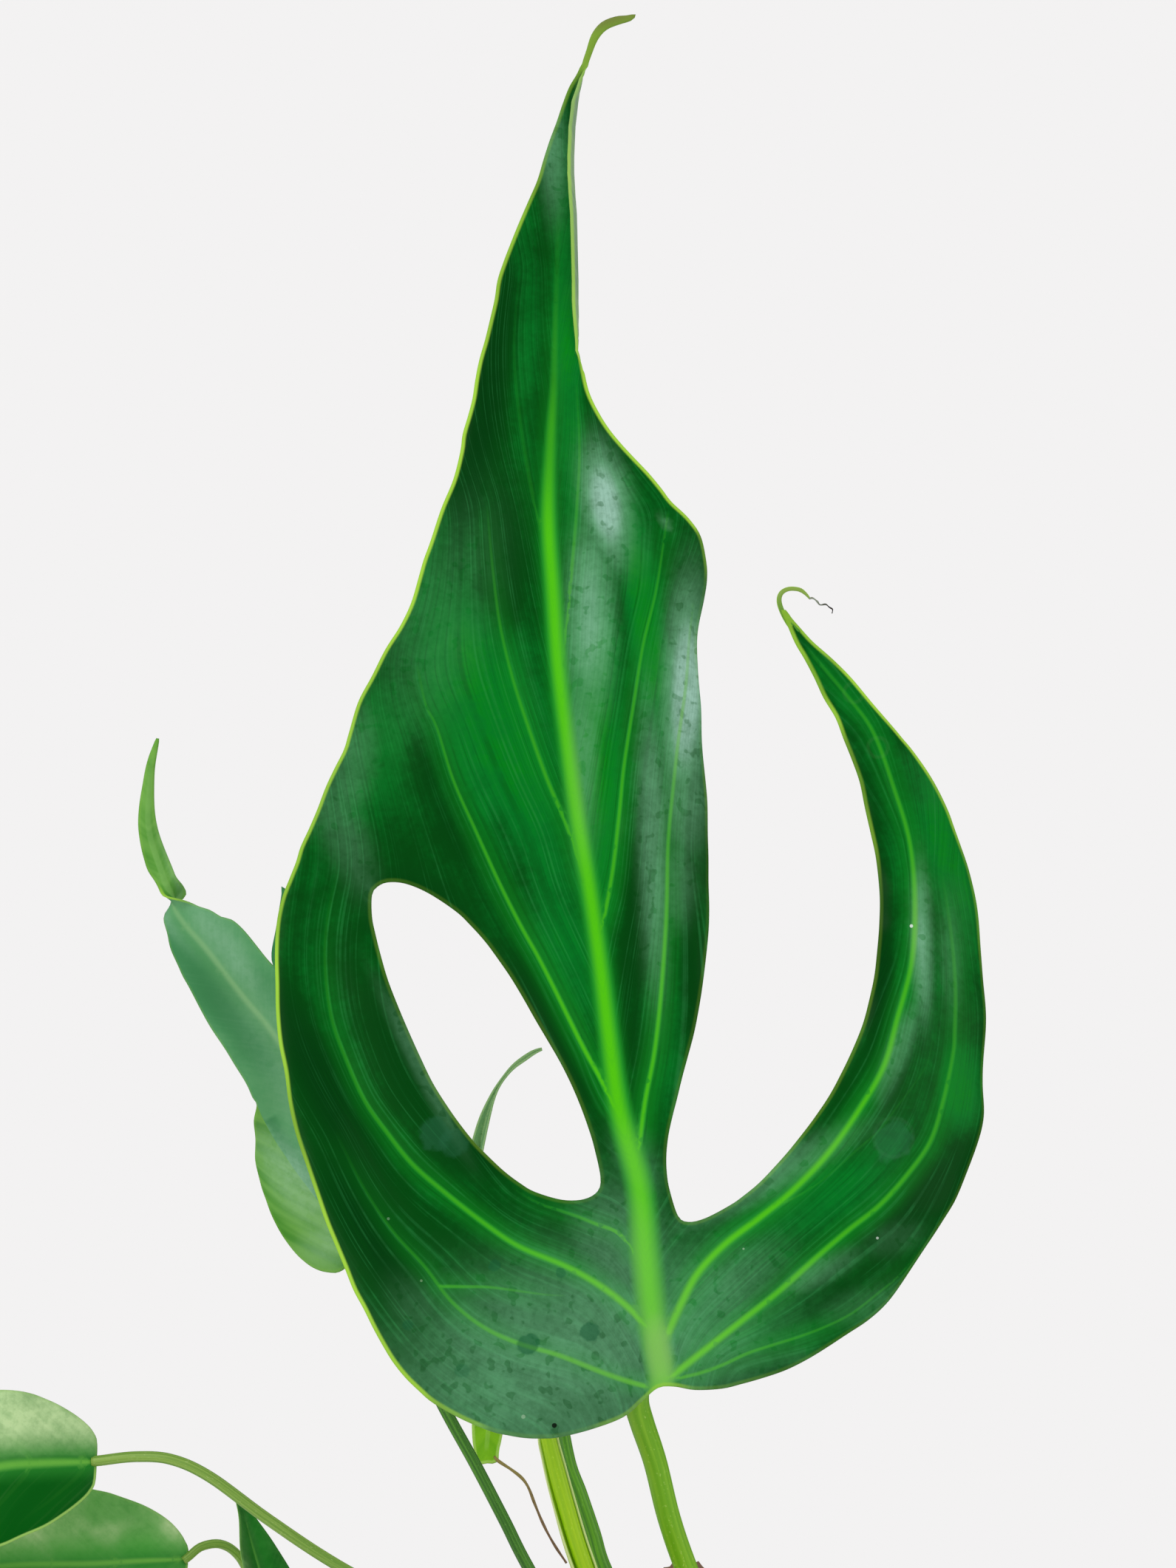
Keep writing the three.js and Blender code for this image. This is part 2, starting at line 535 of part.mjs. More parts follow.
// A stalk, stem or root: rings round a curved line, closed at both ends.
function limb(path, radiusAt, steps, sides) {
  const curve = new THREE.CatmullRomCurve3(path, false, 'catmullrom', 0.5);
  const frames = curve.computeFrenetFrames(steps, false);
  const positions = [];
  for (let i = 0; i <= steps; i += 1) {
    const centre = curve.getPointAt(i / steps);
    const radius = radiusAt(i / steps);
    for (let j = 0; j < sides; j += 1) {
      const angle = (j / sides) * Math.PI * 2;
      const p = centre.clone()
        .addScaledVector(frames.normals[i], radius * Math.cos(angle))
        .addScaledVector(frames.binormals[i], radius * Math.sin(angle));
      positions.push(p.x, p.y, p.z);
    }
  }
  const index = [];
  for (let i = 0; i < steps; i += 1) {
    for (let j = 0; j < sides; j += 1) {
      const k = (j + 1) % sides;
      const [a, b, c, d] = [i * sides + j, i * sides + k, (i + 1) * sides + j, (i + 1) * sides + k];
      index.push(a, b, d, a, d, c);
    }
  }
  const last = steps * sides;
  for (let j = 1; j < sides - 1; j += 1) {
    index.push(0, j + 1, j);
    index.push(last, last + j, last + j + 1);
  }
  const geometry = new THREE.BufferGeometry();
  geometry.setAttribute('position', new THREE.Float32BufferAttribute(positions, 3));
  geometry.setIndex(index);
  return geometry;
}

// Pieces.
function makePot() {
  const shoulder = POT_HEIGHT - RIM_BAND;
  const bodyTop = POT_RIM_RADIUS - 5;
  const inner = bodyTop - POT_WALL;
  const profile = [
    [0, 0], [POT_FOOT_RADIUS - 2, 0], [POT_FOOT_RADIUS, 2], [bodyTop, shoulder], [bodyTop + 2.5, shoulder + 1],
    [POT_RIM_RADIUS - 1.5, shoulder + 4], [POT_RIM_RADIUS, POT_HEIGHT - 3], [POT_RIM_RADIUS - 1.5, POT_HEIGHT],
    [POT_RIM_RADIUS - 5, POT_HEIGHT], [POT_RIM_RADIUS - 6.5, POT_HEIGHT - 2], [inner, shoulder],
    [POT_FOOT_RADIUS - POT_WALL, POT_FLOOR], [0, POT_FLOOR],
  ];
  const lathe = new THREE.LatheGeometry(profile.map(([r, z]) => new THREE.Vector2(r, z)), POT_SIDES);
  lathe.rotateX(Math.PI / 2);
  let solid = toSolid(lathe);
  for (let i = 0; i < DRAIN_HOLES; i += 1) {
    const drill = new THREE.CylinderGeometry(DRAIN_RADIUS, DRAIN_RADIUS, POT_FLOOR * 3, 16);
    drill.rotateX(Math.PI / 2);
    const angle = ((i + 0.25) / DRAIN_HOLES) * Math.PI * 2;
    drill.translate(DRAIN_RING * Math.cos(angle), DRAIN_RING * Math.sin(angle), 0);
    solid = solid.subtract(toSolid(drill));
  }
  return solid;
}

function mixRadiusAt(z) {
  const shoulder = POT_HEIGHT - RIM_BAND;
  const wide = POT_RIM_RADIUS - 5 - POT_WALL;
  const narrow = POT_FOOT_RADIUS - POT_WALL;
  if (z > shoulder) return wide + (z - shoulder) * 0.15;
  return narrow + ((wide - narrow) * (z - POT_FLOOR)) / (shoulder - POT_FLOOR);
}

function makeChip(long, wide, thick) {
  const chip = new THREE.BoxGeometry(long, wide, thick).toNonIndexed();
  chip.deleteAttribute('normal');
  chip.deleteAttribute('uv');
  const box = mergeVertices(chip);
  const position = box.attributes.position;
  for (let i = 0; i < position.count; i += 1) {
    const shrink = 0.7 + 0.3 * random();
    position.setXYZ(i, position.getX(i) * shrink, position.getY(i) * (0.7 + 0.3 * random()), position.getZ(i));
  }
  box.rotateX((random() - 0.5) * 0.9);
  box.rotateY((random() - 0.5) * 0.9);
  box.rotateZ(random() * Math.PI * 2);
  return box;
}

function makeMix(stemWithRoom) {
  const clearance = 0.5;
  const shoulder = POT_HEIGHT - RIM_BAND;
  const crown = [[36, -1], [18, 1.5], [0, 2]];
  const profile = [
    [0, POT_FLOOR + GAP], [mixRadiusAt(POT_FLOOR) - clearance, POT_FLOOR + GAP],
    [mixRadiusAt(shoulder) - clearance, shoulder], [mixRadiusAt(MIX_TOP) - clearance, MIX_TOP - 2],
    ...crown.map(([r, rise]) => [r, MIX_TOP + rise]),
  ];
  const lathe = new THREE.LatheGeometry(profile.map(([r, z]) => new THREE.Vector2(r, z)), POT_SIDES / 2);
  lathe.rotateX(Math.PI / 2);
  lathe.rotateZ(Math.PI / POT_SIDES);
  let solid = toSolid(lathe);
  for (let i = 0; i < BARK_CHIPS; i += 1) {
    const radius = 44 * Math.sqrt((i + 0.5) / BARK_CHIPS);
    const angle = i * GOLDEN_ANGLE;
    const chip = makeChip(9 + random() * 7, 6 + random() * 4, 5 + random() * 3);
    chip.translate(radius * Math.cos(angle), radius * Math.sin(angle), MIX_TOP - 0.5 + random() * 2);
    solid = solid.add(toSolid(chip));
  }
  return largest(solid.subtract(stemWithRoom));
}

function stemLimb(stations, room, steps, sides, scars = []) {
  const path = stations.map(([x, y, z]) => new THREE.Vector3(x, y, z));
  const curve = new THREE.CatmullRomCurve3(path, false, 'catmullrom', 0.5);
  const radiusAt = (t) => {
    const at = curve.getPointAt(t);
    const k = t * (stations.length - 1);
    const low = Math.min(Math.floor(k), stations.length - 2);
    const plain = THREE.MathUtils.lerp(stations[low][3], stations[low + 1][3], k - low);
    const ring = scars.reduce((sum, z) => sum + 0.55 * Math.exp(-(((at.z - z) / 0.9) ** 2)), 0);
    return plain + ring + room;
  };
  return toSolid(limb(path, radiusAt, steps, sides));
}

function makeStem(room) {
  let solid = stemLimb(STEM, room, 34, 12, STEM_SCARS);
  ROOTS.forEach((root) => {
    solid = solid.add(stemLimb(root, room, 12, 7));
  });
  return solid;
}

function makeStalk({ path, foot, middle, head }) {
  const line = path.map(seen);
  const steps = Math.round(new THREE.CatmullRomCurve3(line).getLength() / STALK_STEP);
  const radiusAt = (t) => {
    const base = THREE.MathUtils.lerp(foot, middle, THREE.MathUtils.smoothstep(t, 0, 0.3));
    return base + (head - middle) * THREE.MathUtils.smoothstep(t, 0.75, 1);
  };
  return toSolid(limb(line, radiusAt, steps, STALK_SIDES));
}

function makeThread(path, radius) {
  return toSolid(limb(path.map(seen), () => radius, path.length * 2, 5));
}

const flameDepth = thinPlate(FLAME_DEPTHS);

function nearMidrib(across, up) {
  const ring = FLAME_MIDRIB.findIndex(([, height]) => height > up);
  if (ring < 1) return 0;
  const [x0, y0] = FLAME_MIDRIB[ring - 1];
  const [x1, y1] = FLAME_MIDRIB[ring];
  const middle = x0 + ((x1 - x0) * (up - y0)) / (y1 - y0);
  const half = ramp([[187, 2.1], [230, 1.6], [300, 1.2], [370, 0.6]], up);
  return Math.exp(-(((across - middle) / half) ** 2)) * half;
}

function ribPoints(line, side, step) {
  return trace(line, step, false).map((p) => new THREE.Vector2(p.x + side, p.y));
}

function makeFlameBlade(grow) {
  const midribSide = 2.2;
  const ribs = [
    ...ribPoints(FLAME_MIDRIB, 0, 5), ...ribPoints(FLAME_MIDRIB, -midribSide, 5),
    ...ribPoints(FLAME_MIDRIB, midribSide, 5), ...ribPoints(FLAME_HORN_VEIN, 0, 5),
    ...ribPoints(FLAME_LOBE_VEIN, 0, 5),
  ];
  const solid = toSolid(blade({
    outline: trace(FLAME_OUTLINE, 5),
    holes: [trace(FLAME_HOLE, 5)],
    ribs,
    spacing: 5,
    place: (x, y) => seen([x, y, flameDepth(x, y)]),
    rib: nearMidrib,
    grow,
  }));
  if (grow) return solid;
  const [tipAcross, tipUp] = HORN_THREAD[0];
  const tipDepth = flameDepth(tipAcross, tipUp);
  const thread = HORN_THREAD.map(([across, up, past]) => [across, up, tipDepth + past]);
  return solid.add(makeThread(thread, THREAD_RADIUS));
}

function makeSpineBlade(spine, outline, spacing, bends, grow) {
  const { surface } = aroundSpine(spine, bends);
  return toSolid(blade({ outline, spacing, place: surface, grow }));
}

const towardsFront = new THREE.Vector3(0, -1, 0);
const LESSER_BLADES = {
  twisted: (grow) => makeSpineBlade(TWISTED_SPINE, trace(TWISTED_OUTLINE, 4), 3.6, {
    face: new THREE.Vector3(-0.25, -1, 0.2),
    twist: (s) => ramp([[56, 0], [68, -Math.PI * 0.95]], s),
    fold: (s) => ramp([[0, 0.2], [40, 0.28], [60, 0.1]], s),
    curlLeft: (s) => ramp([[0, -0.03], [12, -0.05], [30, 0.01], [66, 0.02]], s),
  }, grow),
  young: (grow) => makeSpineBlade(YOUNG_SPINE, evenOutline(YOUNG_WIDTHS, 3.5), 3.2, {
    face: new THREE.Vector3(-0.6, -1, 0),
    fold: () => 0.75,
    curlLeft: () => 0.03,
    curlRight: () => 0.03,
  }, grow),
  hanging: (grow) => makeSpineBlade(HANGING_SPINE, trace(HANGING_OUTLINE, 4), 3.6, {
    face: new THREE.Vector3(0, 0.75, 0.65),
    fold: () => 0.2,
    curlLeft: () => -0.012,
    curlRight: () => -0.012,
  }, grow).add(makeThread(HANGING_THREAD, THREAD_RADIUS + grow)),
  upper: (grow) => makeSpineBlade(UPPER_SPINE, evenOutline(UPPER_WIDTHS, 4), 3.8, {
    face: new THREE.Vector3(0, -1, 0.35),
    fold: () => 0.16,
    curlLeft: () => -0.02,
    curlRight: () => -0.028,
  }, grow),
  lower: (grow) => makeSpineBlade(LOWER_SPINE, evenOutline(LOWER_WIDTHS, 4), 3.8, {
    face: new THREE.Vector3(0, -1, 0.3),
    fold: () => 0.14,
    curlLeft: () => -0.02,
    curlRight: () => -0.024,
  }, grow),
  small: (grow) => makeSpineBlade(SMALL_SPINE, evenOutline(SMALL_WIDTHS, 3.5), 3.4, {
    face: new THREE.Vector3(0.72, -0.7, 0),
    fold: () => 0.5,
    curlLeft: () => -0.03,
    curlRight: () => -0.03,
  }, grow),
};

// The young stalk's sheath: a wing that wraps its left side and ends in a free tip.
function makeSheathWing() {
  const path = YOUNG_STALK.path;
  const { surface, length } = aroundSpine(path.slice(1), {
    face: towardsFront,
    fold: () => 0.1,
    curlLeft: () => 0.45,
    curlRight: () => 0.45,
  });
  const top = length - 7;
  const outline = trace([
    [-3.4, 1], [-4, 12], [-3.8, 24], [-3.3, top - 6], [-2.6, top], [-1.2, top + 1.5], [0, top - 1],
    [1, top + 1], [2, top - 1], [2.6, top - 8], [3, 22], [3.2, 10], [3, 1],
  ], 4);
  const behind = 1.4;
  const place = (x, y) => surface(x, y).addScaledVector(towardsFront, -behind);
  return toSolid(blade({ outline, spacing: 3, place }));
}

function makeDrySheath() {
  const { surface } = aroundSpine(DRY_SHEATH_SPINE, {
    face: towardsFront,
    fold: () => 0.1,
    curlLeft: (s) => ramp([[0, 0.1], [20, 0.05], [37, 0.02]], s),
    curlRight: (s) => ramp([[0, 0.1], [20, 0.05], [37, 0.02]], s),
  });
  return toSolid(blade({ outline: evenOutline(DRY_SHEATH_WIDTHS, 4), spacing: 4, place: surface }));
}

// The plant is put together: each piece is cut clear of the ones that carry it.
const plant = new THREE.Group();

function place(name, solid, [colour, roughness]) {
  const material = new THREE.MeshStandardMaterial({ color: colour, roughness, metalness: 0 });
  const mesh = new THREE.Mesh(toGeometry(solid), material);
  mesh.name = name;
  plant.add(mesh);
}

const stemWithRoom = makeStem(GAP);

function placeLeaf(name, makeBlade, stalk, [stalkColour, bladeColour]) {
  const fitted = largest(stalk.subtract(stemWithRoom).subtract(makeBlade(GAP)));
  place(`petiole_${name}`, fitted, stalkColour);
  place(`blade_${name}`, makeBlade(0), bladeColour);
}

place('pot', makePot(), COLOURS.clay);
place('potting_mix', makeMix(stemWithRoom), COLOURS.bark);
place('stem', makeStem(0), COLOURS.stem);
place('dry_sheath', largest(makeDrySheath().subtract(stemWithRoom)), COLOURS.papery);

const { twisted, young, hanging, upper, lower, small } = LESSER_BLADES;
const sheathedStalk = makeStalk(YOUNG_STALK).add(makeSheathWing());
placeLeaf('flame', makeFlameBlade, makeStalk(FLAME_STALK), [COLOURS.stalk, COLOURS.flame]);
placeLeaf('twisted', twisted, makeStalk(TWISTED_STALK), [COLOURS.darkStalk, COLOURS.backLeaf]);
placeLeaf('young', young, sheathedStalk, [COLOURS.sheath, COLOURS.youngLeaf]);
placeLeaf('hanging', hanging, makeStalk(HANGING_STALK), [COLOURS.darkStalk, COLOURS.underside]);
placeLeaf('upper', upper, makeStalk(UPPER_STALK), [COLOURS.stalk, COLOURS.juvenile]);
placeLeaf('lower', lower, makeStalk(LOWER_STALK), [COLOURS.stalk, COLOURS.juvenile]);
placeLeaf('small', small, makeStalk(SMALL_STALK), [COLOURS.stalk, COLOURS.juvenile]);

export default plant;
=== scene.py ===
"""A potted flame monstera: a large split leaf, six lesser leaves, stem, bark mix and clay pot."""

import math

import bpy
import numpy as np
from mathutils import Euler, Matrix, Vector, geometry, kdtree


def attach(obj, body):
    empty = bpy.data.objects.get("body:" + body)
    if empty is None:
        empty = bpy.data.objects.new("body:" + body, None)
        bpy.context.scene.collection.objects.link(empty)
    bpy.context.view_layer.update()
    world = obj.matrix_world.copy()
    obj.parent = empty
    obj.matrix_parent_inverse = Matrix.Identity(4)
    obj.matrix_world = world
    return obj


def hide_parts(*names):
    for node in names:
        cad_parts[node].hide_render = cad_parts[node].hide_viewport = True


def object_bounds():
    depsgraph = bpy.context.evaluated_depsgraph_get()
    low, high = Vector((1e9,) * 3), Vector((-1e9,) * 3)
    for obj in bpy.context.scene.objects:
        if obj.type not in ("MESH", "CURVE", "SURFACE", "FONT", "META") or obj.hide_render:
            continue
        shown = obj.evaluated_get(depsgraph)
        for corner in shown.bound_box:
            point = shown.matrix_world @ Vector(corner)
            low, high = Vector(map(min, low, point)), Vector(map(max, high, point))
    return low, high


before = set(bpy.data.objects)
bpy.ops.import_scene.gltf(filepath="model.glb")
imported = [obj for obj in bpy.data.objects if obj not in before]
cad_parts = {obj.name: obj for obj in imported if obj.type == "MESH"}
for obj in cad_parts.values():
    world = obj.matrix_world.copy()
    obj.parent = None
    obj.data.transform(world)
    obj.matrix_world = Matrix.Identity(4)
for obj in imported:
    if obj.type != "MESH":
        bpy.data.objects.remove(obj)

bl_info = {
    "name": "Potted flame monstera",
    "version": (1, 0, 0),
    "blender": (4, 5, 0),
    "location": "3D View > Sidebar > Monstera",
    "description": "Builds a potted flame monstera, piece by piece, round its solids",
    "category": "Add Mesh",
}

CAD_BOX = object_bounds()
MM = 0.001
BODY = "root"

# Sizes are in millimetres from here on, and become metres when a mesh is made. The eye is where the camera
# stands: outlines are drawn on the upright plane through the pot's axis, as they are seen from there.
EYE = np.array([-17.5, -383.0, 293.0])
POT_HEIGHT = 110
POT_RIM_RADIUS = 60
POT_FOOT_RADIUS = 41
POT_WALL = 4.5
POT_FLOOR = 7
RIM_BAND = 22
RIM_OVERHANG = 5
SHOULDER = POT_HEIGHT - RIM_BAND
SHOULDER_RADIUS = POT_RIM_RADIUS - RIM_OVERHANG
FOOT_ROUNDING = 2
DRAIN_RADIUS = 4
DRAIN_RING = 21
DRAIN_HOLES = 3
HOLE_SIDES = 24
MIX_TOP = 97
MIX_CLEARANCE = 0.5
CHIP_REACH = 47.5
CHIP_SIZES = ((2.6, 1.7, 0.9), (7.6, 4.4, 2.6))
PERLITE_SIZES = (1, 2)
PERLITE_EVERY = 9
GOLDEN_ANGLE = 2.39996

# The flame blade's margin as it is seen, [across, up], from the base notch round by the left, and its hole.
FLAME_MARGIN = [
    (-5, 187), (-7.9, 184.7), (-11.5, 181.7), (-17, 179.6), (-22.5, 178.3), (-25.5, 178.1), (-28.5, 178.2),
    (-31.6, 178.7), (-34.5, 179.4), (-39.6, 181.5), (-44.6, 184.3), (-47.1, 186.4), (-49.5, 188.7), (-51.7, 191.4),
    (-53.5, 194.3), (-55.2, 197.4), (-56.8, 200.7), (-58.6, 204.1), (-60.1, 207.9), (-61.7, 211.7), (-63.5, 216),
    (-65.3, 221.2), (-67.1, 226.6), (-68.8, 231.8), (-70, 237), (-70.7, 242.3), (-71.7, 247.5), (-72.2, 252.8),
    (-72.3, 258), (-72.4, 263.4), (-72.1, 268.5), (-71.2, 272.8), (-69.8, 276.4), (-68.7, 279.2), (-67.9, 281.9),
    (-66.4, 285.2), (-64.9, 288.7), (-63.5, 292.3), (-61.9, 295.7), (-60.3, 299), (-59.4, 302.1), (-57.8, 307.3),
    (-55.4, 311.8), (-53, 316.7), (-50.4, 320.8), (-48.5, 324.7), (-47.2, 329.1), (-46.3, 332.3), (-45.1, 335.6),
    (-43.2, 341.3), (-41.1, 346.4), (-39.8, 351.5), (-39.4, 354.5), (-38.5, 357.6), (-37.7, 360.7), (-37.2, 364),
    (-36.5, 367.5), (-35.5, 371), (-34.6, 374.7), (-33.8, 378.2), (-33.3, 381.5), (-32.3, 384.6), (-31, 388),
    (-29.5, 391.7), (-27.9, 395.4), (-26.3, 399.1), (-25.2, 402.8), (-24.1, 406.2), (-22.9, 409.4), (-21.9, 412.4),
    (-20.7, 415.5), (-19.2, 418.1), (-17.9, 421.4), (-16.8, 424.7), (-15.1, 426.8), (-12.7, 427.8), (-10.7, 428),
    (-9.2, 428.2), (-10, 427.3), (-12.2, 426.6), (-14.3, 425.7), (-15.9, 423.9), (-17.2, 420.8), (-18.6, 417),
    (-19.5, 413), (-20, 408.6), (-20.2, 403.4), (-20.2, 400.4), (-20, 397), (-19.7, 393.2), (-19.6, 389.3),
    (-19.5, 385.3), (-19.4, 381.5), (-19.4, 378.1), (-19.3, 375), (-19.3, 369.2), (-18, 363.9), (-17, 360.9),
    (-15.5, 357.9), (-13.8, 355.2), (-11.7, 352.6), (-9.3, 350), (-6.9, 347.5), (-4.7, 344.9), (-2.9, 342.6),
    (0.1, 339.8), (2.3, 336.6), (3.2, 332), (3.2, 328.8), (2.7, 325.4), (1.8, 319.8), (1.7, 314), (1.8, 310.3),
    (2.2, 306), (2.5, 301), (2.9, 295.7), (3.2, 290.5), (3.4, 285.3), (3.7, 280), (3.6, 275), (3.6, 270.7),
    (3.5, 266.5), (3.1, 261.9), (2.5, 257.4), (1.8, 253.3), (1, 249.2), (0, 245.3), (-1, 241.6), (-1.9, 238),
    (-2.8, 234.6), (-3.5, 231.3), (-3.8, 228), (-3.7, 224.6), (-3.2, 221.4), (-1.8, 216.9), (0.1, 215.8),
    (3.2, 216.5), (7.6, 218.9), (10, 220.6), (12.6, 222.7), (15.2, 225.3), (17.8, 228.2), (20.2, 231.3),
    (22.6, 234.6), (25.2, 238.4), (27.4, 242.5), (29.3, 246.6), (30.9, 250.7), (32, 254.7), (32.9, 258.7),
    (33.4, 263), (33.8, 267.8), (33.9, 273.6), (33.3, 279.5), (32.3, 284.5), (31.3, 289.1), (30.4, 293.3),
    (29, 297.2), (27.5, 300.9), (26.1, 304.7), (24.1, 308.2), (22.5, 311.7), (20.7, 315), (18.9, 317.9),
    (17.1, 321.9), (16.4, 323.5), (17.1, 323.5), (18.1, 322.1), (19.4, 320.6), (21.9, 317.9), (25.4, 314.9),
    (28.8, 311.6), (32.3, 307.5), (35.9, 303.3), (37.8, 300.9), (39.6, 298.6), (42.7, 293.9), (45.5, 288.7),
    (46.8, 285.6), (48.1, 282.2), (49.2, 278.7), (50, 274.8), (50.7, 270.8), (51.3, 266.5), (51.8, 261.8),
    (52, 256.7), (52.2, 250.9), (52.1, 245), (51.9, 239.7), (51.8, 234.5), (50.7, 229.3), (49.1, 224.5),
    (47.1, 220.2), (44.7, 216.4), (42.5, 212.7), (40.2, 209), (37.5, 205.2), (34.6, 201.6), (31.5, 198.7),
    (28.2, 196.4), (24.7, 194.1), (21.1, 192), (17.2, 190.1), (13.2, 188.7), (9.4, 187.6), (6, 186.8), (1.3, 186.6),
    (-2.3, 187.2),
]
FLAME_HOLE = [
    (-55.6, 273.4), (-54.7, 274.9), (-52.8, 275.8), (-49.6, 275.6), (-45.5, 273.9), (-40.7, 270.7), (-38.1, 268.2),
    (-35.5, 265.3), (-33.2, 262.2), (-30.9, 258.9), (-28.7, 255.3), (-26.6, 251.6), (-24.5, 248), (-22.4, 244.3),
    (-20.5, 240.5), (-18.8, 236.6), (-17.4, 232.9), (-16.3, 229.4), (-15.2, 224), (-15.7, 221.3), (-18.2, 219.8),
    (-22.1, 219.7), (-26.9, 221.1), (-29.5, 222.6), (-32.2, 224.6), (-34.9, 227.1), (-37.7, 230), (-40.2, 233.2),
    (-42.6, 236.7), (-45, 240.6), (-47.1, 244.9), (-49.1, 249.3), (-51, 253.8), (-52.8, 258.5), (-54.1, 263),
    (-55, 266.6), (-55.6, 269.6),
]
# How far back the flame blade stands at places on it, [across, up, depth].
FLAME_DEPTHS = [
    (-5, 187, -30), (-5.5, 197, -30), (-9, 223, -24), (-14, 249, -15), (-19.5, 288, -4), (-24, 327, 6),
    (-24, 353, 12), (-23, 379, 18), (-21.5, 405, 22), (-19.5, 416, 22), (-10, 428, 18), (-29, 391.5, 17),
    (-37, 364, 12), (-42.5, 341, 7), (-19.5, 389, 18), (-18.5, 366, 13), (-49.5, 320.5, 1),
    (-59, 302, -4), (-68, 282, -9), (-72, 262, -14), (-69.5, 238, -22), (-63.5, 216, -32),
    (-54, 194, -42), (-42, 182.5, -47), (-28.5, 178.5, -48), (-15, 180.5, -42), (-36, 198, -39),
    (-48, 218, -30), (-60, 245, -18), (-27, 222, -26), (-40, 234, -22), (-51, 256, -15), (-54, 275, -9),
    (-36, 265, -10), (-22, 244, -17), (-38, 290, -6), (-16, 224, -25), (-9, 310, 0), (-9, 285, -7),
    (3, 332, 10), (-7, 346, 11), (3.5, 290, 3), (3.5, 266, -4), (-1, 241, -16), (-3.5, 225, -22),
    (0, 216, -25), (9, 214, -26), (12.5, 222.5, -22), (26, 231.5, -22), (27, 242.5, -16), (37, 255, -13),
    (33.5, 268, -3), (39.5, 275, -3), (31.5, 289, 6), (35, 299, 8), (23, 312, 15), (18, 322, 18),
    (20, 326, 18), (29, 311, 16), (45, 289, 10), (51, 262, 2), (50, 232, -10), (40, 209, -20),
    (21, 193, -28), (5, 187, -31), (25, 210, -26),
]
DEPTH_SOFTNESS = 40
STREAK_SOFTNESS = 2.0
# The margin is rolled at the right of the tip: the roll's radius and turn, and where it grows and fades, as
# (up, share). Under the least radius it counts as flat.
ROLL_RADIUS = 0.95
ROLL_TURN = 3.0
ROLL_STOPS = [(362, 0), (379, 1), (412, 1), (421, 0)]
ROLL_EDGE = (352, 421)
LEAST_ROLL = 0.03
# The midrib, [across, up, half-width], and the side veins by side, each with the place in the run of
# streaks that it belongs to, its half-width and brightness at its foot, and how early it fades.
FLAME_MIDRIB = [
    (-4.8, 187.1, 2.0), (-4.6, 189.1, 2.15), (-6, 196.9, 2.2), (-7.4, 209.9, 2.2), (-8.7, 222.9, 2),
    (-12.1, 235.9, 1.8), (-13.9, 248.9, 1.6), (-15.5, 261.9, 1.5), (-17.3, 274.9, 1.5), (-19.5, 287.9, 1.5),
    (-21.3, 300.9, 1.4), (-22.8, 313.9, 1.4), (-23.7, 326.9, 1.4), (-24.5, 339.9, 1.3),
    (-24.1, 352.9, 0.95), (-23.5, 363.3, 0.65), (-23.3, 372.4, 0.5), (-23.1, 378.9, 0.45),
    (-22.9, 386.7, 0.4), (-22.5, 397.1, 0.3), (-21.5, 405, 0.3), (-18.8, 417, 0.3),
]
LEFT_VEINS = [
    (163, 0.48, 0.8, 0.9, [
        (-7.5, 187.1), (-11.7, 188.3), (-15.9, 189.8), (-22.8, 192.5), (-29.6, 194.5), (-35.9, 197.4),
        (-41.5, 201.9), (-46.3, 208.1), (-51.9, 214.3), (-57, 222), (-62, 232)]),
    (184, 0.62, 0.97, 0.9, [
        (-7.5, 197.7), (-10.3, 200.8), (-15.2, 204.6), (-21.3, 208.1), (-29.6, 211.6), (-35.9, 215.8),
        (-42.8, 221.2), (-48.4, 226.1), (-52.8, 231.6), (-56.7, 237.2), (-60.1, 244.8), (-62.5, 251.7),
        (-63.6, 260), (-63.4, 268), (-61.5, 278)]),
    (205, 0.4, 0.72, 0.8, [
        (-9.6, 210.6), (-10.3, 212), (-12.7, 214.3), (-15.9, 215.5), (-19.4, 216.9), (-23, 218.1),
        (-26.3, 219.2), (-31, 222)]),
    (234, 0.5, 0.93, 0.5, [
        (-13.1, 236.3), (-15.3, 241.1), (-18, 246), (-20.7, 251.4), (-23.4, 256.9), (-26.4, 262.8),
        (-29.4, 268.2), (-33.2, 275.8), (-37.5, 285.3), (-41.2, 293.7), (-44.1, 302.9), (-46, 306.8),
        (-47.6, 314)]),
    (274, 0.48, 0.7, 0.6, [
        (-18.3, 275.8), (-19.6, 280.7), (-21.2, 285.6), (-24.7, 293.8), (-28, 303), (-30.8, 311.7),
        (-33, 321), (-34.3, 331), (-35.3, 342)]),
    (330, 0.4, 0.2, 1.0, [(-25.2, 334), (-27.5, 345), (-29.5, 357), (-30.5, 370), (-29.5, 384)]),
]
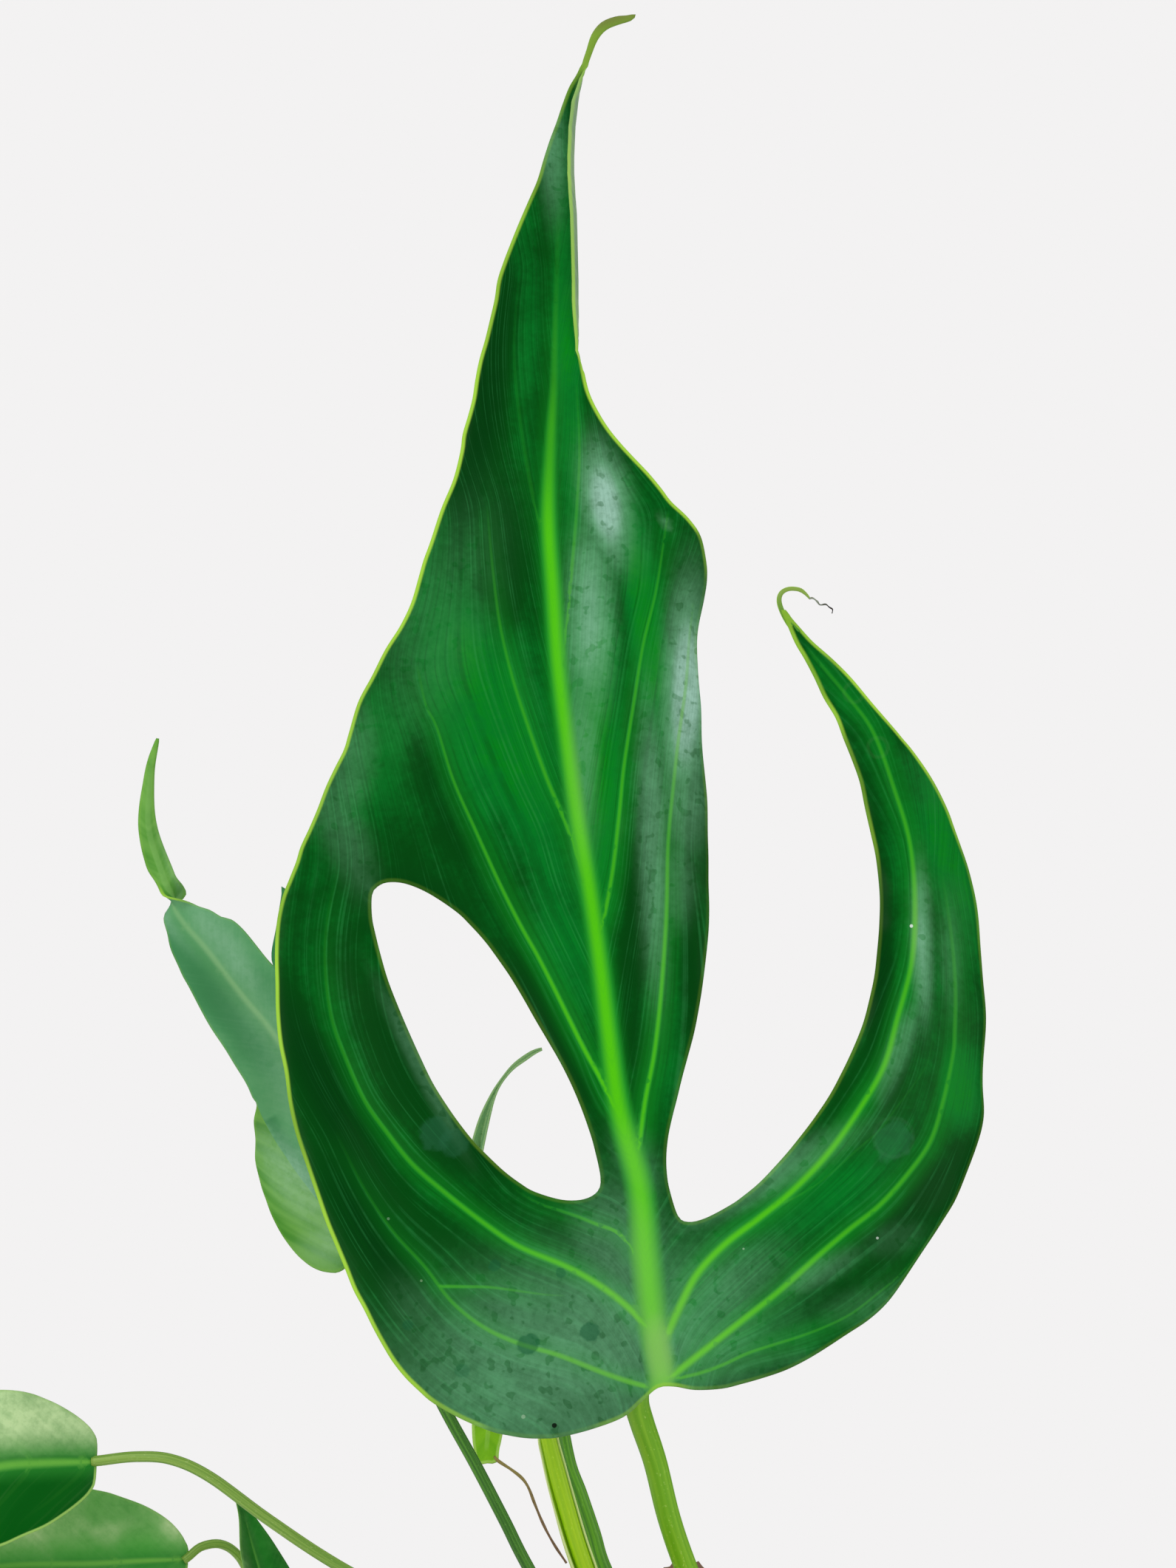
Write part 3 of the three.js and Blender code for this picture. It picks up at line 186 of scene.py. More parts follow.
RIGHT_VEINS = [
    (150, 0.34, 0.58, 0.6, [
        (-2, 188.4), (2.5, 189.5), (6.5, 191), (10.5, 192.9), (15, 194.4), (19.5, 195.8), (24, 197.5),
        (28.5, 199.8), (33, 203.3), (37.5, 207), (41, 211.5)]),
    (165, 0.66, 1.0, 0.65, [
        (-3.2, 188.5), (-1, 190.3), (4.3, 194.5), (10, 199), (16, 203.8), (23, 210.1), (28.5, 214.8),
        (33.5, 218.8), (38.5, 224.3), (42.5, 230), (44.7, 237), (46.5, 245), (46.8, 250), (46.6, 263),
        (44.5, 277)]),
    (None, 0.24, 0.2, 0.6, [
        (12, 215.5), (15, 218), (19.5, 220.5), (24.5, 224), (29.5, 228.5), (33.5, 232), (36.5, 236),
        (39.5, 240), (42, 244), (43.2, 250)]),
    (194, 0.74, 1.0, 0.4, [
        (-3.5, 196.5), (-1.2, 201.5), (1.8, 207), (6.5, 212), (12.5, 216.6), (18.5, 221.5), (24.5, 227.8),
        (30, 235.5), (34.5, 243.5), (36.9, 252), (39.3, 261.5), (39.9, 270.9), (39, 282.7), (36, 292.8),
        (32.5, 302.2), (28, 308.5), (20.8, 316.9)]),
    (225, 0.5, 0.85, 0.5, [
        (-8.6, 228.9), (-7.5, 237.2), (-5.9, 245.4), (-4.8, 255.2), (-3.9, 267.6), (-3.5, 282.1),
        (-2.6, 293.1), (-0.5, 310.4), (0.8, 325)]),
    (266, 0.44, 0.74, 0.4, [
        (-15.8, 265.5), (-14.6, 270), (-13.1, 278.3), (-12, 287.7), (-11.2, 296.2), (-9.5, 307.3),
        (-7.9, 317.2), (-5.7, 326.4), (-4.3, 335.1), (-3.4, 341)]),
    (310, 0.4, 0.5, 0.5, [
        (-21.8, 313.9), (-21.1, 322.8), (-20.3, 331.4), (-19.5, 341.2), (-19, 352), (-19.6, 364)]),
]
VEIN_BRANCH = (0.32, 0.55, 0.6, [
    (-43.6, 204.6), (-39.2, 204.5), (-34.8, 204.4), (-29.5, 203.7), (-25.1, 203.1), (-21.4, 202.9)])
# Places on the flame blade, [across, up, reach across, reach up, lean, strength]: where a painted sheen,
# a pale reflection of the bright surroundings, lies on it, where painted shade darkens it, and where its green
# is brightest, partly a fresher green and partly painted light.
# Painted sheen: pale reflections of the bright surroundings on the glossy blade.
PAINTED_SHEEN_PLACES = [
    (-20, 191, 30, 19.5, -0.5, 0.48), (-46, 199, 6, 7, 0.4, 0.15), (-11, 206, 9, 16, 0.12, 0.4),
    (-5, 193, 3.4, 8, 0.1, 0.9), (-7.5, 208, 2.6, 14, 0.12, 0.36),
    (-9, 226, 4, 7, 0.3, 0.2), (13, 223, 6, 9, -1.6, 0.34), (5, 203, 9, 9, -0.8, 0.3),
    (22.5, 207, 4, 4, -1.3, 0.3), (36, 213, 5, 3, -0.6, 0.1), (33, 201.5, 9, 4, -1.3, 0.14),
    (37, 246, 2, 8, -0.35, 0.35), (41, 265, 1.6, 12, 0.02, 0.72), (46, 262, 2, 10, 0.02, 0.16),
    (-14.4, 342, 4, 10, 0.15, 0.95), (-17.2, 322, 3.8, 16, 0, 0.72), (-18.4, 301, 2.6, 18, 0, 0.34),
    (-9.5, 334, 3, 6, 0, 0.06), (-4, 339, 0.8, 1.4, 0.6, 0.3), (-0.4, 309, 3.9, 18, -0.03, 1.0),
    (-0.5, 290, 3.8, 9, 0, 0.42), (-6.2, 282, 2.5, 24, 0.03, 0.5), (-2, 276, 3, 8, 0, 0.25),
    (-61, 286, 4, 12, 0.35, 0.18), (-44, 322, 9, 20, -0.3, 0.1), (-58.5, 279, 2, 9, 0.5, 0.16),
    (-59, 296, 4, 10, -0.2, 0.2), (-23.8, 405, 2.4, 12, 0.05, 0.42), (14, 192, 12, 2.4, -0.3, 0.12),
    (-46.8, 243, 1.7, 13, 0.5, 0.26),
]
# Painted shade: the darkest places, where the blade turns away from the light or lies in shadow.
PAINTED_SHADE_PLACES = [
    (-64, 240, 4.6, 17, 0.5, 0.85), (-56, 214, 4.5, 12, 0.5, 0.85), (-49, 243, 5, 16, 0.5, 0.4),
    (-38, 229, 7, 5, 0.7, 0.6), (-46, 268, 8, 9, 0.3, 0.55), (-36, 360, 4, 24, -0.2, 0.85),
    (-33, 330, 3.5, 14, 0, 0.45), (33.5, 262, 2.6, 22, 0.05, 0.85), (40, 221, 7, 8, -0.8, 0.45),
    (22, 201, 8, 4, -0.9, 0.25), (-24, 250, 3.4, 12, 0.5, 0.55), (0.8, 258, 2.4, 16, 0.03, 0.4),
    (-9.5, 262, 2, 18, -0.05, 0.3), (-43, 290, 4, 10, 0.3, 0.3),
]
# Brightest green: partly the leaf's own fresher green, partly painted light where the blade faces the light.
FRESH_AND_LIT_PLACES = [
    (-36, 308, 11, 24, 0.3, 0.8), (-29, 292, 6, 20, 0.3, 0.75), (-16.5, 300, 4.6, 36, 0, 1.0),
    (-22, 267, 5, 18, 0.3, 0.6), (-7.5, 322, 3.4, 22, 0.15, 0.95), (46, 282, 6, 24, 0.15, 0.75),
    (48, 240, 4, 8, 0, 1.0), (24, 220, 14, 9, -1.2, 0.5), (-21, 368, 2.6, 38, 0.03, 0.75),
    (-29, 372, 3, 26, 0, 0.4), (15, 198, 13, 6, -0.8, 0.5), (28, 310, 6, 10, 0.8, 0.4),
    (-54, 300, 6, 14, -0.2, 0.45), (2, 198, 5, 8, 0, 0.5), (-66, 262, 5, 20, 0, 0.1), (-3, 255, 6, 26, 0, 0.3),
    (-44, 330, 6, 16, -0.3, 0.35), (40, 262, 8, 30, 0, 0.3), (8, 208, 14, 10, -1, 0.35),
]
# How bright the flame blade's margin is at places along it, [across, up, brightness].
MARGIN_BRIGHTNESS = [
    (-5, 187, 0.5), (-12, 181, 0.35), (-20, 178, 0.08), (-32, 178, 0.1), (-40, 181, 0.5), (-50, 189, 0.9),
    (-60, 207, 1), (-72, 255, 1), (-68, 282, 0.8), (-59, 302, 0.85), (-47, 329, 1), (-38, 357, 1),
    (-32, 385, 0.75), (-24, 406, 0.2), (-19, 419, 0.1), (-12, 428, 0.15), (-13, 426, 0.05), (-18, 419, 0.7),
    (-20, 403, 0.6), (-19.4, 375, 0.7), (-15, 357, 1), (-7, 347, 1), (0, 340, 0.9), (3, 335, 0.3),
    (2.7, 325, 0.06), (2, 306, 0.05), (3.6, 275, 0.05), (0, 245, 0.08), (-3.7, 226, 0.08), (2, 216, 0.12),
    (18, 228, 0.2), (31, 251, 0.2), (33.8, 268, 0.12), (30, 295, 0.35), (22, 312, 0.55), (17, 323, 0.7),
    (22, 318, 0.8), (30, 310, 1), (39, 299, 0.9), (45, 289, 0.6), (50, 275, 0.25), (52, 250, 0.1),
    (51, 230, 0.08), (38, 206, 0.08), (20, 192, 0.1), (5, 187, 0.15), (-55, 274, 0.12), (-45, 274, 0.08),
    (-33, 262, 0.1), (-20, 240, 0.1), (-15.5, 223, 0.06), (-25, 220, 0.1), (-38, 230, 0.2), (-50, 252, 0.1),
]
# Small marks on it, [across, up, radius, strength, tint, whether a ring].
BLEMISHES = [
    (-44.6, 231.6, 3.2, 0.4, "2a6a48", False), (-41.2, 230, 2.4, 0.3, "2a6a48", False),
    (-28.1, 194.3, 1.8, 0.6, "14603a", False), (-17.7, 196.6, 1.6, 0.6, "14603a", False),
    (-22.4, 207, 0.9, 0.45, "14603a", False), (-34, 208, 1.1, 0.4, "14603a", False),
    (-39.7, 189.6, 1.2, 0.35, "14603a", False), (-49.2, 197.7, 1, 0.35, "14603a", False),
    (36, 230.8, 3.3, 0.24, "3a8a5c", False), (36, 230.8, 3.4, 0.04, "6fae84", True),
    (29.2, 309, 1.7, 0.03, "8fc48c", True), (33.4, 299.3, 1.7, 0.03, "8fc48c", True),
    (39.3, 268, 0.3, 0.9, "e8f4ea", False), (33.1, 213.2, 0.22, 0.6, "d8e8da", False),
    (9.8, 211.2, 0.22, 0.45, "b8dcb8", False), (-29, 181.5, 0.35, 0.3, "c8e0c0", False),
    (-52.6, 216.4, 0.3, 0.3, "9cc8a0", False), (-23.6, 180, 0.42, 0.95, "0a1408", False),
    (-46.8, 205.5, 0.2, 0.3, "a8cfa0", False),
]
HORN_HOOK = [
    (19.4, 319.6), (18, 321), (16.7, 323.2), (16.1, 325.2), (16.5, 326.6), (17.8, 327.3), (19.6, 327.2),
    (20.7, 326.5), (21.5, 325.6),
]
HORN_THREAD = [
    (21.4, 325.6), (22, 325.7), (22.8, 325.1), (23.3, 324.5), (24.3, 324.6), (24.9, 324.1), (25.5, 323.7),
    (25.4, 323),
]

# Lesser leaves: the line that each midrib follows, [across, up, depth], from base to tip.
TWISTED_SPINE = [
    (-59.8, 222.9, 31), (-66.3, 238.5, 33), (-72.5, 248.8, 34), (-78.1, 255.7, 35), (-84.2, 263.6, 36),
    (-89.4, 269.9, 38), (-92.2, 277, 40), (-94.6, 285, 42), (-94.4, 294, 42), (-93.1, 301.3, 42),
]
YOUNG_SPINE = [
    (-25, 186.5, 2), (-29.9, 198.2, 10), (-33.9, 211.2, 17), (-36.4, 222.9, 22), (-35.9, 231.5, 24),
    (-33.9, 238.2, 25), (-31.2, 242.6, 25), (-28, 245.2, 25), (-25.8, 246.3, 25), (-24.1, 246.5, 25),
]
HANGING_SPINE = [
    (-24.4, 212.5, 33), (-25.5, 214.5, 40), (-28.5, 212.5, 50), (-31, 204, 58), (-33, 194, 60),
    (-34.5, 184, 57), (-35.2, 178, 54), (-35.2, 173.7, 51),
]
HANGING_THREAD = [
    (-34, 174.7, 51.5), (-33.2, 173.9, 51), (-30.8, 172.3, 50), (-29, 170.8, 49), (-27.9, 169.1, 48),
    (-26.9, 166.5, 47), (-25.4, 162.9, 46), (-23.6, 159.5, 45), (-21.3, 156, 45),
]
UPPER_SPINE = [
    (-104.1, 173.8, -22), (-113.1, 173.6, -25), (-120.9, 173, -27), (-131, 170.5, -28),
    (-143, 165, -27), (-155, 156, -24), (-162, 148, -20),
]
LOWER_SPINE = [
    (-88, 156.7, -9), (-96, 156.4, -12), (-104.7, 155.9, -14), (-120.9, 155.4, -17), (-134, 152, -17),
    (-147, 145, -14), (-156, 134, -9),
]
SMALL_SPINE = [
    (-70, 119, -12), (-70.4, 130, -15), (-72, 141, -15), (-74.8, 152.5, -13), (-78.6, 165.6, -9),
]
TWISTED_OUTLINE = [
    (0, 0), (-2.2, -8), (-5, -13.4), (-8, -14.7), (-10.5, -13.8), (-12.2, -12.6), (-13.6, -11), (-15, -8.4),
    (-16, -4.8), (-16.6, -1), (-17, 2.6), (-17.6, 6.4), (-17.2, 10.8), (-14.4, 15), (-12.2, 18.6), (-9.9, 21.4),
    (-9.8, 23.4), (-9.4, 26.8), (-9.2, 32.6), (-8.6, 38.6), (-7.8, 43.8), (-7, 48.6), (-6.5, 52), (-5.2, 57),
    (-3.6, 60), (-3, 62.4), (-3.4, 64.2), (-5, 65.6), (-3.3, 66.8), (-2.2, 68.6), (-2, 71.2), (-1.8, 75.6),
    (-1.5, 79.8), (-1, 84.4), (-0.7, 88), (-0.5, 91.6), (-0.4, 94.6), (-0.2, 97.5), (0.2, 97.5), (0.7, 94.8),
    (1, 92.6), (1.4, 89), (1.8, 85.4), (2, 81.6), (2.1, 78.4), (2.4, 74.8), (2.5, 72.2), (1.8, 69.3), (1.5, 67.2),
    (2.2, 65), (3.1, 62.8), (4.3, 60), (5.6, 57.4), (6.4, 54.8), (7.6, 53.2), (8.2, 51), (8.6, 46.6), (9, 43),
    (9.3, 41.4), (9.8, 42.6), (11.3, 44.5), (15.3, 47.8), (19.3, 50.8), (20, 51.6), (21.5, 45), (20, 34),
    (18.5, 22), (16.5, 8), (12, -8), (6, -9),
]
TWISTED_CREASE = [(-5, -12), (-6, -3.4), (-6.8, 0.4), (-9.2, 8.6), (-10.4, 14.6), (-9.8, 23.4)]
HANGING_OUTLINE = [
    (0, 0), (-4, -5), (-9, -7), (-13.5, -3), (-15.5, 6), (-16, 16), (-14.5, 27), (-11, 35), (-12, 26),
    (-10.5, 18), (-7.5, 20), (-6.6, 30), (-5.6, 42), (-4.4, 52), (-3.4, 60), (-2.6, 66), (-2.1, 68.6), (0, 68.9),
    (1.9, 68.7), (2.4, 66), (3.4, 60), (4.4, 51), (5.8, 40), (7, 30), (8, 22), (11, 21), (12.4, 28), (12, 38),
    (15, 28), (16, 16), (15.5, 5), (13, -4), (8.5, -7), (4, -5),
]
YOUNG_WIDTHS = [
    (0, 0.8), (5, 3.2), (12, 5.8), (20, 7), (30, 6.2), (37, 4.2), (43, 2.9), (48, 1.9), (54, 1.1), (58, 0.7),
    (62, 0.4), (70, 0.3),
]
UPPER_WIDTHS = [
    (0, 2.7), (0.7, 4.6), (2.2, 6.2), (4.8, 8.1), (8.2, 10), (12.5, 11.5), (17, 12.4), (24, 12.9),
    (34, 12.1), (44, 9.8), (53, 6.4), (60, 3), (65, 0.9),
]
LOWER_WIDTHS = [
    (0, 1.5), (0.6, 2.8), (1.7, 4.4), (3.9, 6.5), (7.2, 8.6), (11, 10.3), (15, 11.6), (21, 12.4),
    (32, 12), (44, 9.8), (55, 6.8), (65, 3.4), (74, 0.9),
]
SMALL_WIDTHS = [
    (0, 1), (2, 3.3), (6, 5.7), (13, 7.4), (22, 7.5), (31, 6), (39, 3.8), (45, 1.7), (49.5, 0.5),
]
# Stalks: their line, [across, up, depth], from the stem to the blade, and the radii at foot, middle
# and head.
FLAME_STALK = [
    (13, 120, 2), (10, 129, -6), (5, 142, -10), (-0.3, 155.2, -14), (-3.3, 164, -18), (-5.7, 173.7, -22),
    (-8, 180.6, -25), (-9, 184.5, -26.4), (-8.6, 188.8, -28),
]
TWISTED_STALK = [
    (9.5, 120, 7.5), (-3, 126, 10), (-18, 138, 11), (-28, 155.2, 14), (-32.2, 163.5, 16), (-37.3, 173.3, 19),
    (-42.8, 183.3, 22), (-48.6, 195, 26), (-54, 207.5, 29), (-58.9, 220.6, 30.9),
]
YOUNG_STALK = [
    (6, 126, 5.5), (-5.5, 133, 3), (-13.6, 144, 2), (-18.6, 156.9, 1), (-21.3, 165.7, 1),
    (-23.4, 173.5, 1), (-24.7, 179, 1), (-25.6, 185.4, 1.8),
]
HANGING_STALK = [
    (8, 127, 9.5), (-1.5, 134.5, 12), (-9.5, 145, 12.5), (-14.7, 155.2, 13), (-16.6, 161.3, 14),
    (-18.9, 168.1, 15), (-21.1, 174.4, 17), (-23, 186, 22), (-24, 200, 28), (-24.4, 210.9, 32.2),
]
UPPER_STALK = [
    (12, 108, 1), (2, 114, -7), (-20, 131, -16), (-42, 145, -20), (-61, 155.3, -22), (-73.5, 163.5, -23),
    (-83.9, 171.1, -23), (-90.7, 174.2, -22.5), (-97, 174.7, -22), (-103.4, 174, -22),
]
LOWER_STALK = [
    (10, 112, 6), (0, 116.5, 2), (-24, 126, -1), (-50, 134, -2), (-68, 142, -3), (-75.5, 151.5, -4),
    (-78.9, 157.2, -5), (-82, 159.3, -6.5), (-85.4, 158.9, -8), (-87.6, 157.2, -9),
]
SMALL_STALK = [
    (12, 104, -2), (2, 107, -7), (-18, 111, -11), (-40, 114.5, -12), (-58, 115.6, -12), (-67, 116.2, -12),
    (-70.3, 118.3, -12),
]
STEM = [
    (17, 4, 45, 6), (17, 4, 80, 6.4), (16.5, 4, 99, 6.6), (15, 4.5, 112, 6.3), (11, 6, 124, 5.8),
    (6, 8, 134, 5), (2.5, 9.5, 142, 3.8), (1.5, 10, 146, 2),
]
# The heights of the leaf scars, each a ridge with a groove above it.
STEM_SCARS = (101, 107, 113.5, 120, 127)
SCAR_RIDGE, SCAR_GROOVE, SCAR_WIDTH, SCAR_STEP = 0.55, 0.3, 0.7, 1.6
ROOTS = [
    [(19, 3, 117, 1.8), (26, -2, 113, 1.6), (30, -6, 104, 1.4), (31, -8, 90, 1.2), (31, -8, 72, 0.9)],
    [(18, 7, 110, 1.7), (23, 14, 107, 1.5), (25, 19, 99, 1.3), (25.5, 21, 82, 1)],
]
DRY_SHEATH_SPINE = [
    (10.5, 121, 11.2), (6.5, 131, 17), (2.2, 143, 18.5), (0, 150, 19), (-0.6, 156.6, 20),
]
DRY_SHEATH_WIDTHS = [(0, 3), (5, 6.5), (12, 9), (22, 9.6), (30, 8.6), (34.5, 5.5), (37, 2)]
# The juvenile leaves: name, midrib, half-widths, the way the blade faces, its fold and its curl at the left and
# right, the midrib's half-width, the stalk and its radii at foot, middle and head, how much painted sheen and how
# much painted shade the blade has below and above its midrib, how fresh it is below, and how bright its margin is.
JUVENILE_LEAVES = [
    ("upper", UPPER_SPINE, UPPER_WIDTHS, (0, -1, 0.35), 0.16, (-0.02, -0.028), 1.3, UPPER_STALK, (2, 0.92, 0.86),
     (0, 1.0), (0.6, 0), 0.14, 1),
    ("lower", LOWER_SPINE, LOWER_WIDTHS, (0, -1, 0.3), 0.14, (-0.02, -0.024), 0.9, LOWER_STALK, (1.7, 0.78, 0.74),
     (0.72, 1.0), (0, 0), 0.9, 1),
    ("small", SMALL_SPINE, SMALL_WIDTHS, (0.72, -0.7, 0), 0.5, (-0.03, -0.03), 0.7, SMALL_STALK, (1.6, 0.9, 0.85),
     (0.45, 0.05), (0, 0.3), 0.14, 0.1),
]


# Lines and surfaces.
LEAST_BEND = 1e-4
COURSE_STEP = 0.25
HEADING_REACH = 0.6
MARGIN_STEP = 0.8


def seen(places):
    """Places drawn as [across, up, depth] from the eye, as [x, y, z]."""
    across, up, depth = np.asarray(places, float).T
    reach = (depth - EYE[1]) / -EYE[1]
    return np.stack([EYE[0] + (across - EYE[0]) * reach, depth, EYE[2] + (up - EYE[2]) * reach], axis=1)


def unit(ways):
    """The same directions, each of length 1."""
    return ways / np.maximum(np.linalg.norm(ways, axis=-1, keepdims=True), 1e-12)


def turns(count):
    """The angles of evenly spaced points round a circle."""
    return np.arange(count) / count * 2 * math.pi


def circle(count):
    return np.stack([np.cos(turns(count)), np.sin(turns(count))], axis=1)


def part_way(values, t):
    """The value at a share t of the way along a list."""
    return np.interp(t * (len(values) - 1), np.arange(len(values)), values)


def ramp(stops, at):
    """A value that goes smoothly from each (place, value) stop to the next, or a number that stays the same."""
    at = np.asarray(at, float)
    if not hasattr(stops, "__len__"):
        return np.full(at.shape, float(stops))
    value = np.full(at.shape, float(stops[0][1]))
    for (start, low), (end, high) in zip(stops, stops[1:]):
        t = np.clip((at - start) / (end - start), 0, 1)
        value += (high - low) * t * t * (3 - 2 * t)
    return value


def trace(points, step, closed=True):
    """Points about a step apart on a smooth line through the given ones."""
    p = np.asarray(points, float)
    spans = len(p) if closed else len(p) - 1
    if closed:
        p = np.concatenate([p[-1:], p, p[:2]])
    else:
        p = np.concatenate([[2 * p[0] - p[1]], p, [2 * p[-1] - p[-2]]])
    line = []
    for a, b, c, d in zip(p[:spans], p[1:], p[2:], p[3:]):
        parts = max(1, round(float(np.linalg.norm(c - b)) / step))
        t = (np.arange(parts) / parts)[:, None]
        leave, reach = (c - a) / 2, (d - b) / 2
        line.append(
            b * (2 * t**3 - 3 * t**2 + 1) + leave * (t**3 - 2 * t**2 + t)
            + c * (3 * t**2 - 2 * t**3) + reach * (t**3 - t**2)
        )
    if not closed:
        line.append(p[-2:-1])
    return np.concatenate(line)


class Course:
    """A smooth line in space, read by the length along it."""

    def __init__(self, points):
        self.line = trace(points, COURSE_STEP, closed=False)
        steps = np.linalg.norm(np.diff(self.line, axis=0), axis=1)
        self.marks = np.concatenate([[0], np.cumsum(steps)])
        self.length = self.marks[-1]

    def at(self, along):
        """The places at given lengths, straight on past either end."""
        along = np.asarray(along, float)
        inside = np.clip(along, 0, self.length)
        places = np.stack([np.interp(inside, self.marks, axis) for axis in self.line.T], axis=-1)
        return places + self.heading(along) * (along - inside)[..., None]

    def heading(self, along):
        """The line's direction, taken over a short reach to either side."""
        inside = np.clip(np.asarray(along, float), 0, self.length)
        a, b = (np.clip(inside + reach, 0, self.length) for reach in (-HEADING_REACH, HEADING_REACH))
        ends = [np.stack([np.interp(s, self.marks, axis) for axis in self.line.T], axis=-1) for s in (a, b)]
        return unit(ends[1] - ends[0])


def thin_plate(places, softness):
    """The height of the surface through (across, up, height) places that bends least."""
    places = np.asarray(places, float)
    spots = places[:, :2]

    def spread(d2):
        return d2 * np.log(np.maximum(d2, 1e-12))

    def rows(points):
        d2 = ((points[:, None] - spots[None]) ** 2).sum(-1)
        return np.concatenate([spread(d2), np.ones((len(points), 1)), points], axis=1)

    count = len(spots)
    matrix = np.zeros((count + 3, count + 3))
    matrix[:count] = rows(spots)
    matrix[:count, :count] += np.eye(count) * softness
    matrix[count:, :count] = matrix[:count, count:].T
    weights = np.linalg.solve(matrix, np.concatenate([places[:, 2], [0, 0, 0]]))

    def height(points):
        parts = np.array_split(np.asarray(points, float), max(1, len(points) // 4000))
        return np.concatenate([rows(part) @ weights for part in parts])

    return height


def nearest_on(points, line, closed=False):
    """Each point's distance to a line, and the place of the nearest point on it."""
    line = np.asarray(line, float)
    ends = np.roll(line, -1, axis=0) if closed else line[1:]
    starts = line[: len(ends)]
    ways = ends - starts
    sizes = np.maximum((ways**2).sum(-1), 1e-12)
    gaps, places = [], []
    for part in np.array_split(np.asarray(points, float), max(1, len(points) // 3000)):
        away = part[:, None] - starts[None]
        t = np.clip((away * ways).sum(-1) / sizes, 0, 1)
        d2 = ((away - t[..., None] * ways) ** 2).sum(-1)
        best = d2.argmin(axis=1)
        row = np.arange(len(part))
        gaps.append(np.sqrt(d2[row, best]))
        places.append(best + t[row, best])
    return np.concatenate(gaps), np.concatenate(places)


def is_inside(points, ring):
    """Whether each point lies inside a closed line."""
    x, y = np.asarray(points, float).T
    inside = np.zeros(len(x), bool)
    for (ax, ay), (bx, by) in zip(ring, np.roll(ring, -1, axis=0)):
        if ay == by:
            continue
        crosses = (ay > y) != (by > y)
        inside ^= crosses & (x < (bx - ax) * (y - ay) / (by - ay) + ax)
    return inside


def cover(points, places):
    """How much soft patches, [across, up, reach across, reach up, lean, strength], cover each point."""
    total = np.zeros(len(points))
    for across, up, wide, high, lean, strength in places:
        y = points[:, 1] - up
        x = points[:, 0] - across + lean * y
        total = np.maximum(total, strength * np.exp(-(((x / wide) ** 2 + (y / high) ** 2) ** 1.5)))
    return total


def nearby(points, places):
    """Each point's value from the (across, up, value) places round it, the nearest the most."""
    places = np.asarray(places, float)
    weights = 1 / (((points[:, None] - places[None, :, :2]) ** 2).sum(-1) + 1) ** 2
    return (weights * places[:, 2]).sum(-1) / weights.sum(-1)


def in_blade(points, rings):
    """Whether each point lies inside the first ring and outside the others, its holes."""
    inside = is_inside(points, rings[0])
    for hole in rings[1:]:
        inside &= ~is_inside(points, hole)
    return inside


def inset(ring, by):
    """A closed line moved inwards, or outwards where it runs the other way round."""
    way = unit(np.roll(ring, -1, axis=0) - np.roll(ring, 1, axis=0))
    x, y = ring.T
    area = (x * np.roll(y, -1) - np.roll(x, -1) * y).sum()
    side = np.stack([-way[:, 1], way[:, 0]], axis=1)
    return ring + side * (by if area > 0 else -by)


def flat_mesh(rings, lines, spacing):
    """Splits a flat region into triangles that follow its margin and the given lines."""
    margins = [0.3, 0.75, 1.4]
    kept = [np.concatenate(rings)]

    def accept(points, apart, margin):
        """Keeps the points inside that stand clear of the margin and of the points kept before."""
        points = points[in_blade(points, rings)]
        if not len(points):
            return
        room = np.min([nearest_on(points, ring, True)[0] for ring in rings], axis=0)
        points = points[room > margin]
        tree = kdtree.KDTree(sum(len(part) for part in kept) + len(points))
        for i, (x, y) in enumerate(np.concatenate(kept)):
            tree.insert((x, y, 0), i)
        tree.balance()
        new = []
        cells = {}
        for x, y in points:
            if tree.find((x, y, 0))[2] < apart:
                continue
            cell = (int(x // apart), int(y // apart))
            block = [(cell[0] + i, cell[1] + j) for i in (-1, 0, 1) for j in (-1, 0, 1)]
            near = [point for place in block for point in cells.get(place, [])]
            if any((x - a) ** 2 + (y - b) ** 2 < apart * apart for a, b in near):
                continue
            cells.setdefault(cell, []).append((x, y))
            new.append((x, y))
        if new:
            kept.append(np.array(new))

    for margin in margins:
        for number, ring in enumerate(rings):
            by = margin if number == 0 else -margin
            accept(inset(ring, by), 0.35 * margin + 0.1, 0.8 * margin)
    for line, apart in lines:
        accept(line, apart, 0.3)
    low, high = rings[0].min(axis=0), rings[0].max(axis=0)
    rise = spacing * math.sqrt(0.75)
    rows = np.arange(low[1], high[1], rise)
    columns = np.arange(low[0], high[0], spacing)
    grid = np.stack(np.meshgrid(columns, rows), axis=-1)
    grid[1::2, :, 0] += spacing / 2
    accept(grid.reshape(-1, 2), spacing * 0.62, margins[-1] + spacing * 0.4)
    points = np.concatenate(kept)
    edges, start = [], 0
    for ring in rings:
        count = len(ring)
        edges += [(start + i, start + (i + 1) % count) for i in range(count)]
        start += count
    result = geometry.delaunay_2d_cdt([Vector(p) for p in points], edges, [], 0, 1e-6)
    points = np.array([tuple(p) for p in result[0]])
    faces = np.array([tuple(f) for f in result[2]])
    faces = faces[in_blade(points[faces].mean(axis=1), rings)]
    a, b, c = (points[faces[:, i]] for i in range(3))
    wrong = (b[:, 0] - a[:, 0]) * (c[:, 1] - a[:, 1]) - (b[:, 1] - a[:, 1]) * (c[:, 0] - a[:, 0]) < 0
    faces[wrong] = faces[wrong][:, ::-1]
    used, faces = np.unique(faces, return_inverse=True)
    return points[used], faces.reshape(-1, 3)


def surface_normals(places, faces):
    """The direction that the surface faces at each point."""
    a, b, c = (places[faces[:, i]] for i in range(3))
    flat = np.cross(b - a, c - a)
    normals = np.zeros_like(places)
    for i in range(3):
        np.add.at(normals, faces[:, i], flat)
    return unit(normals)


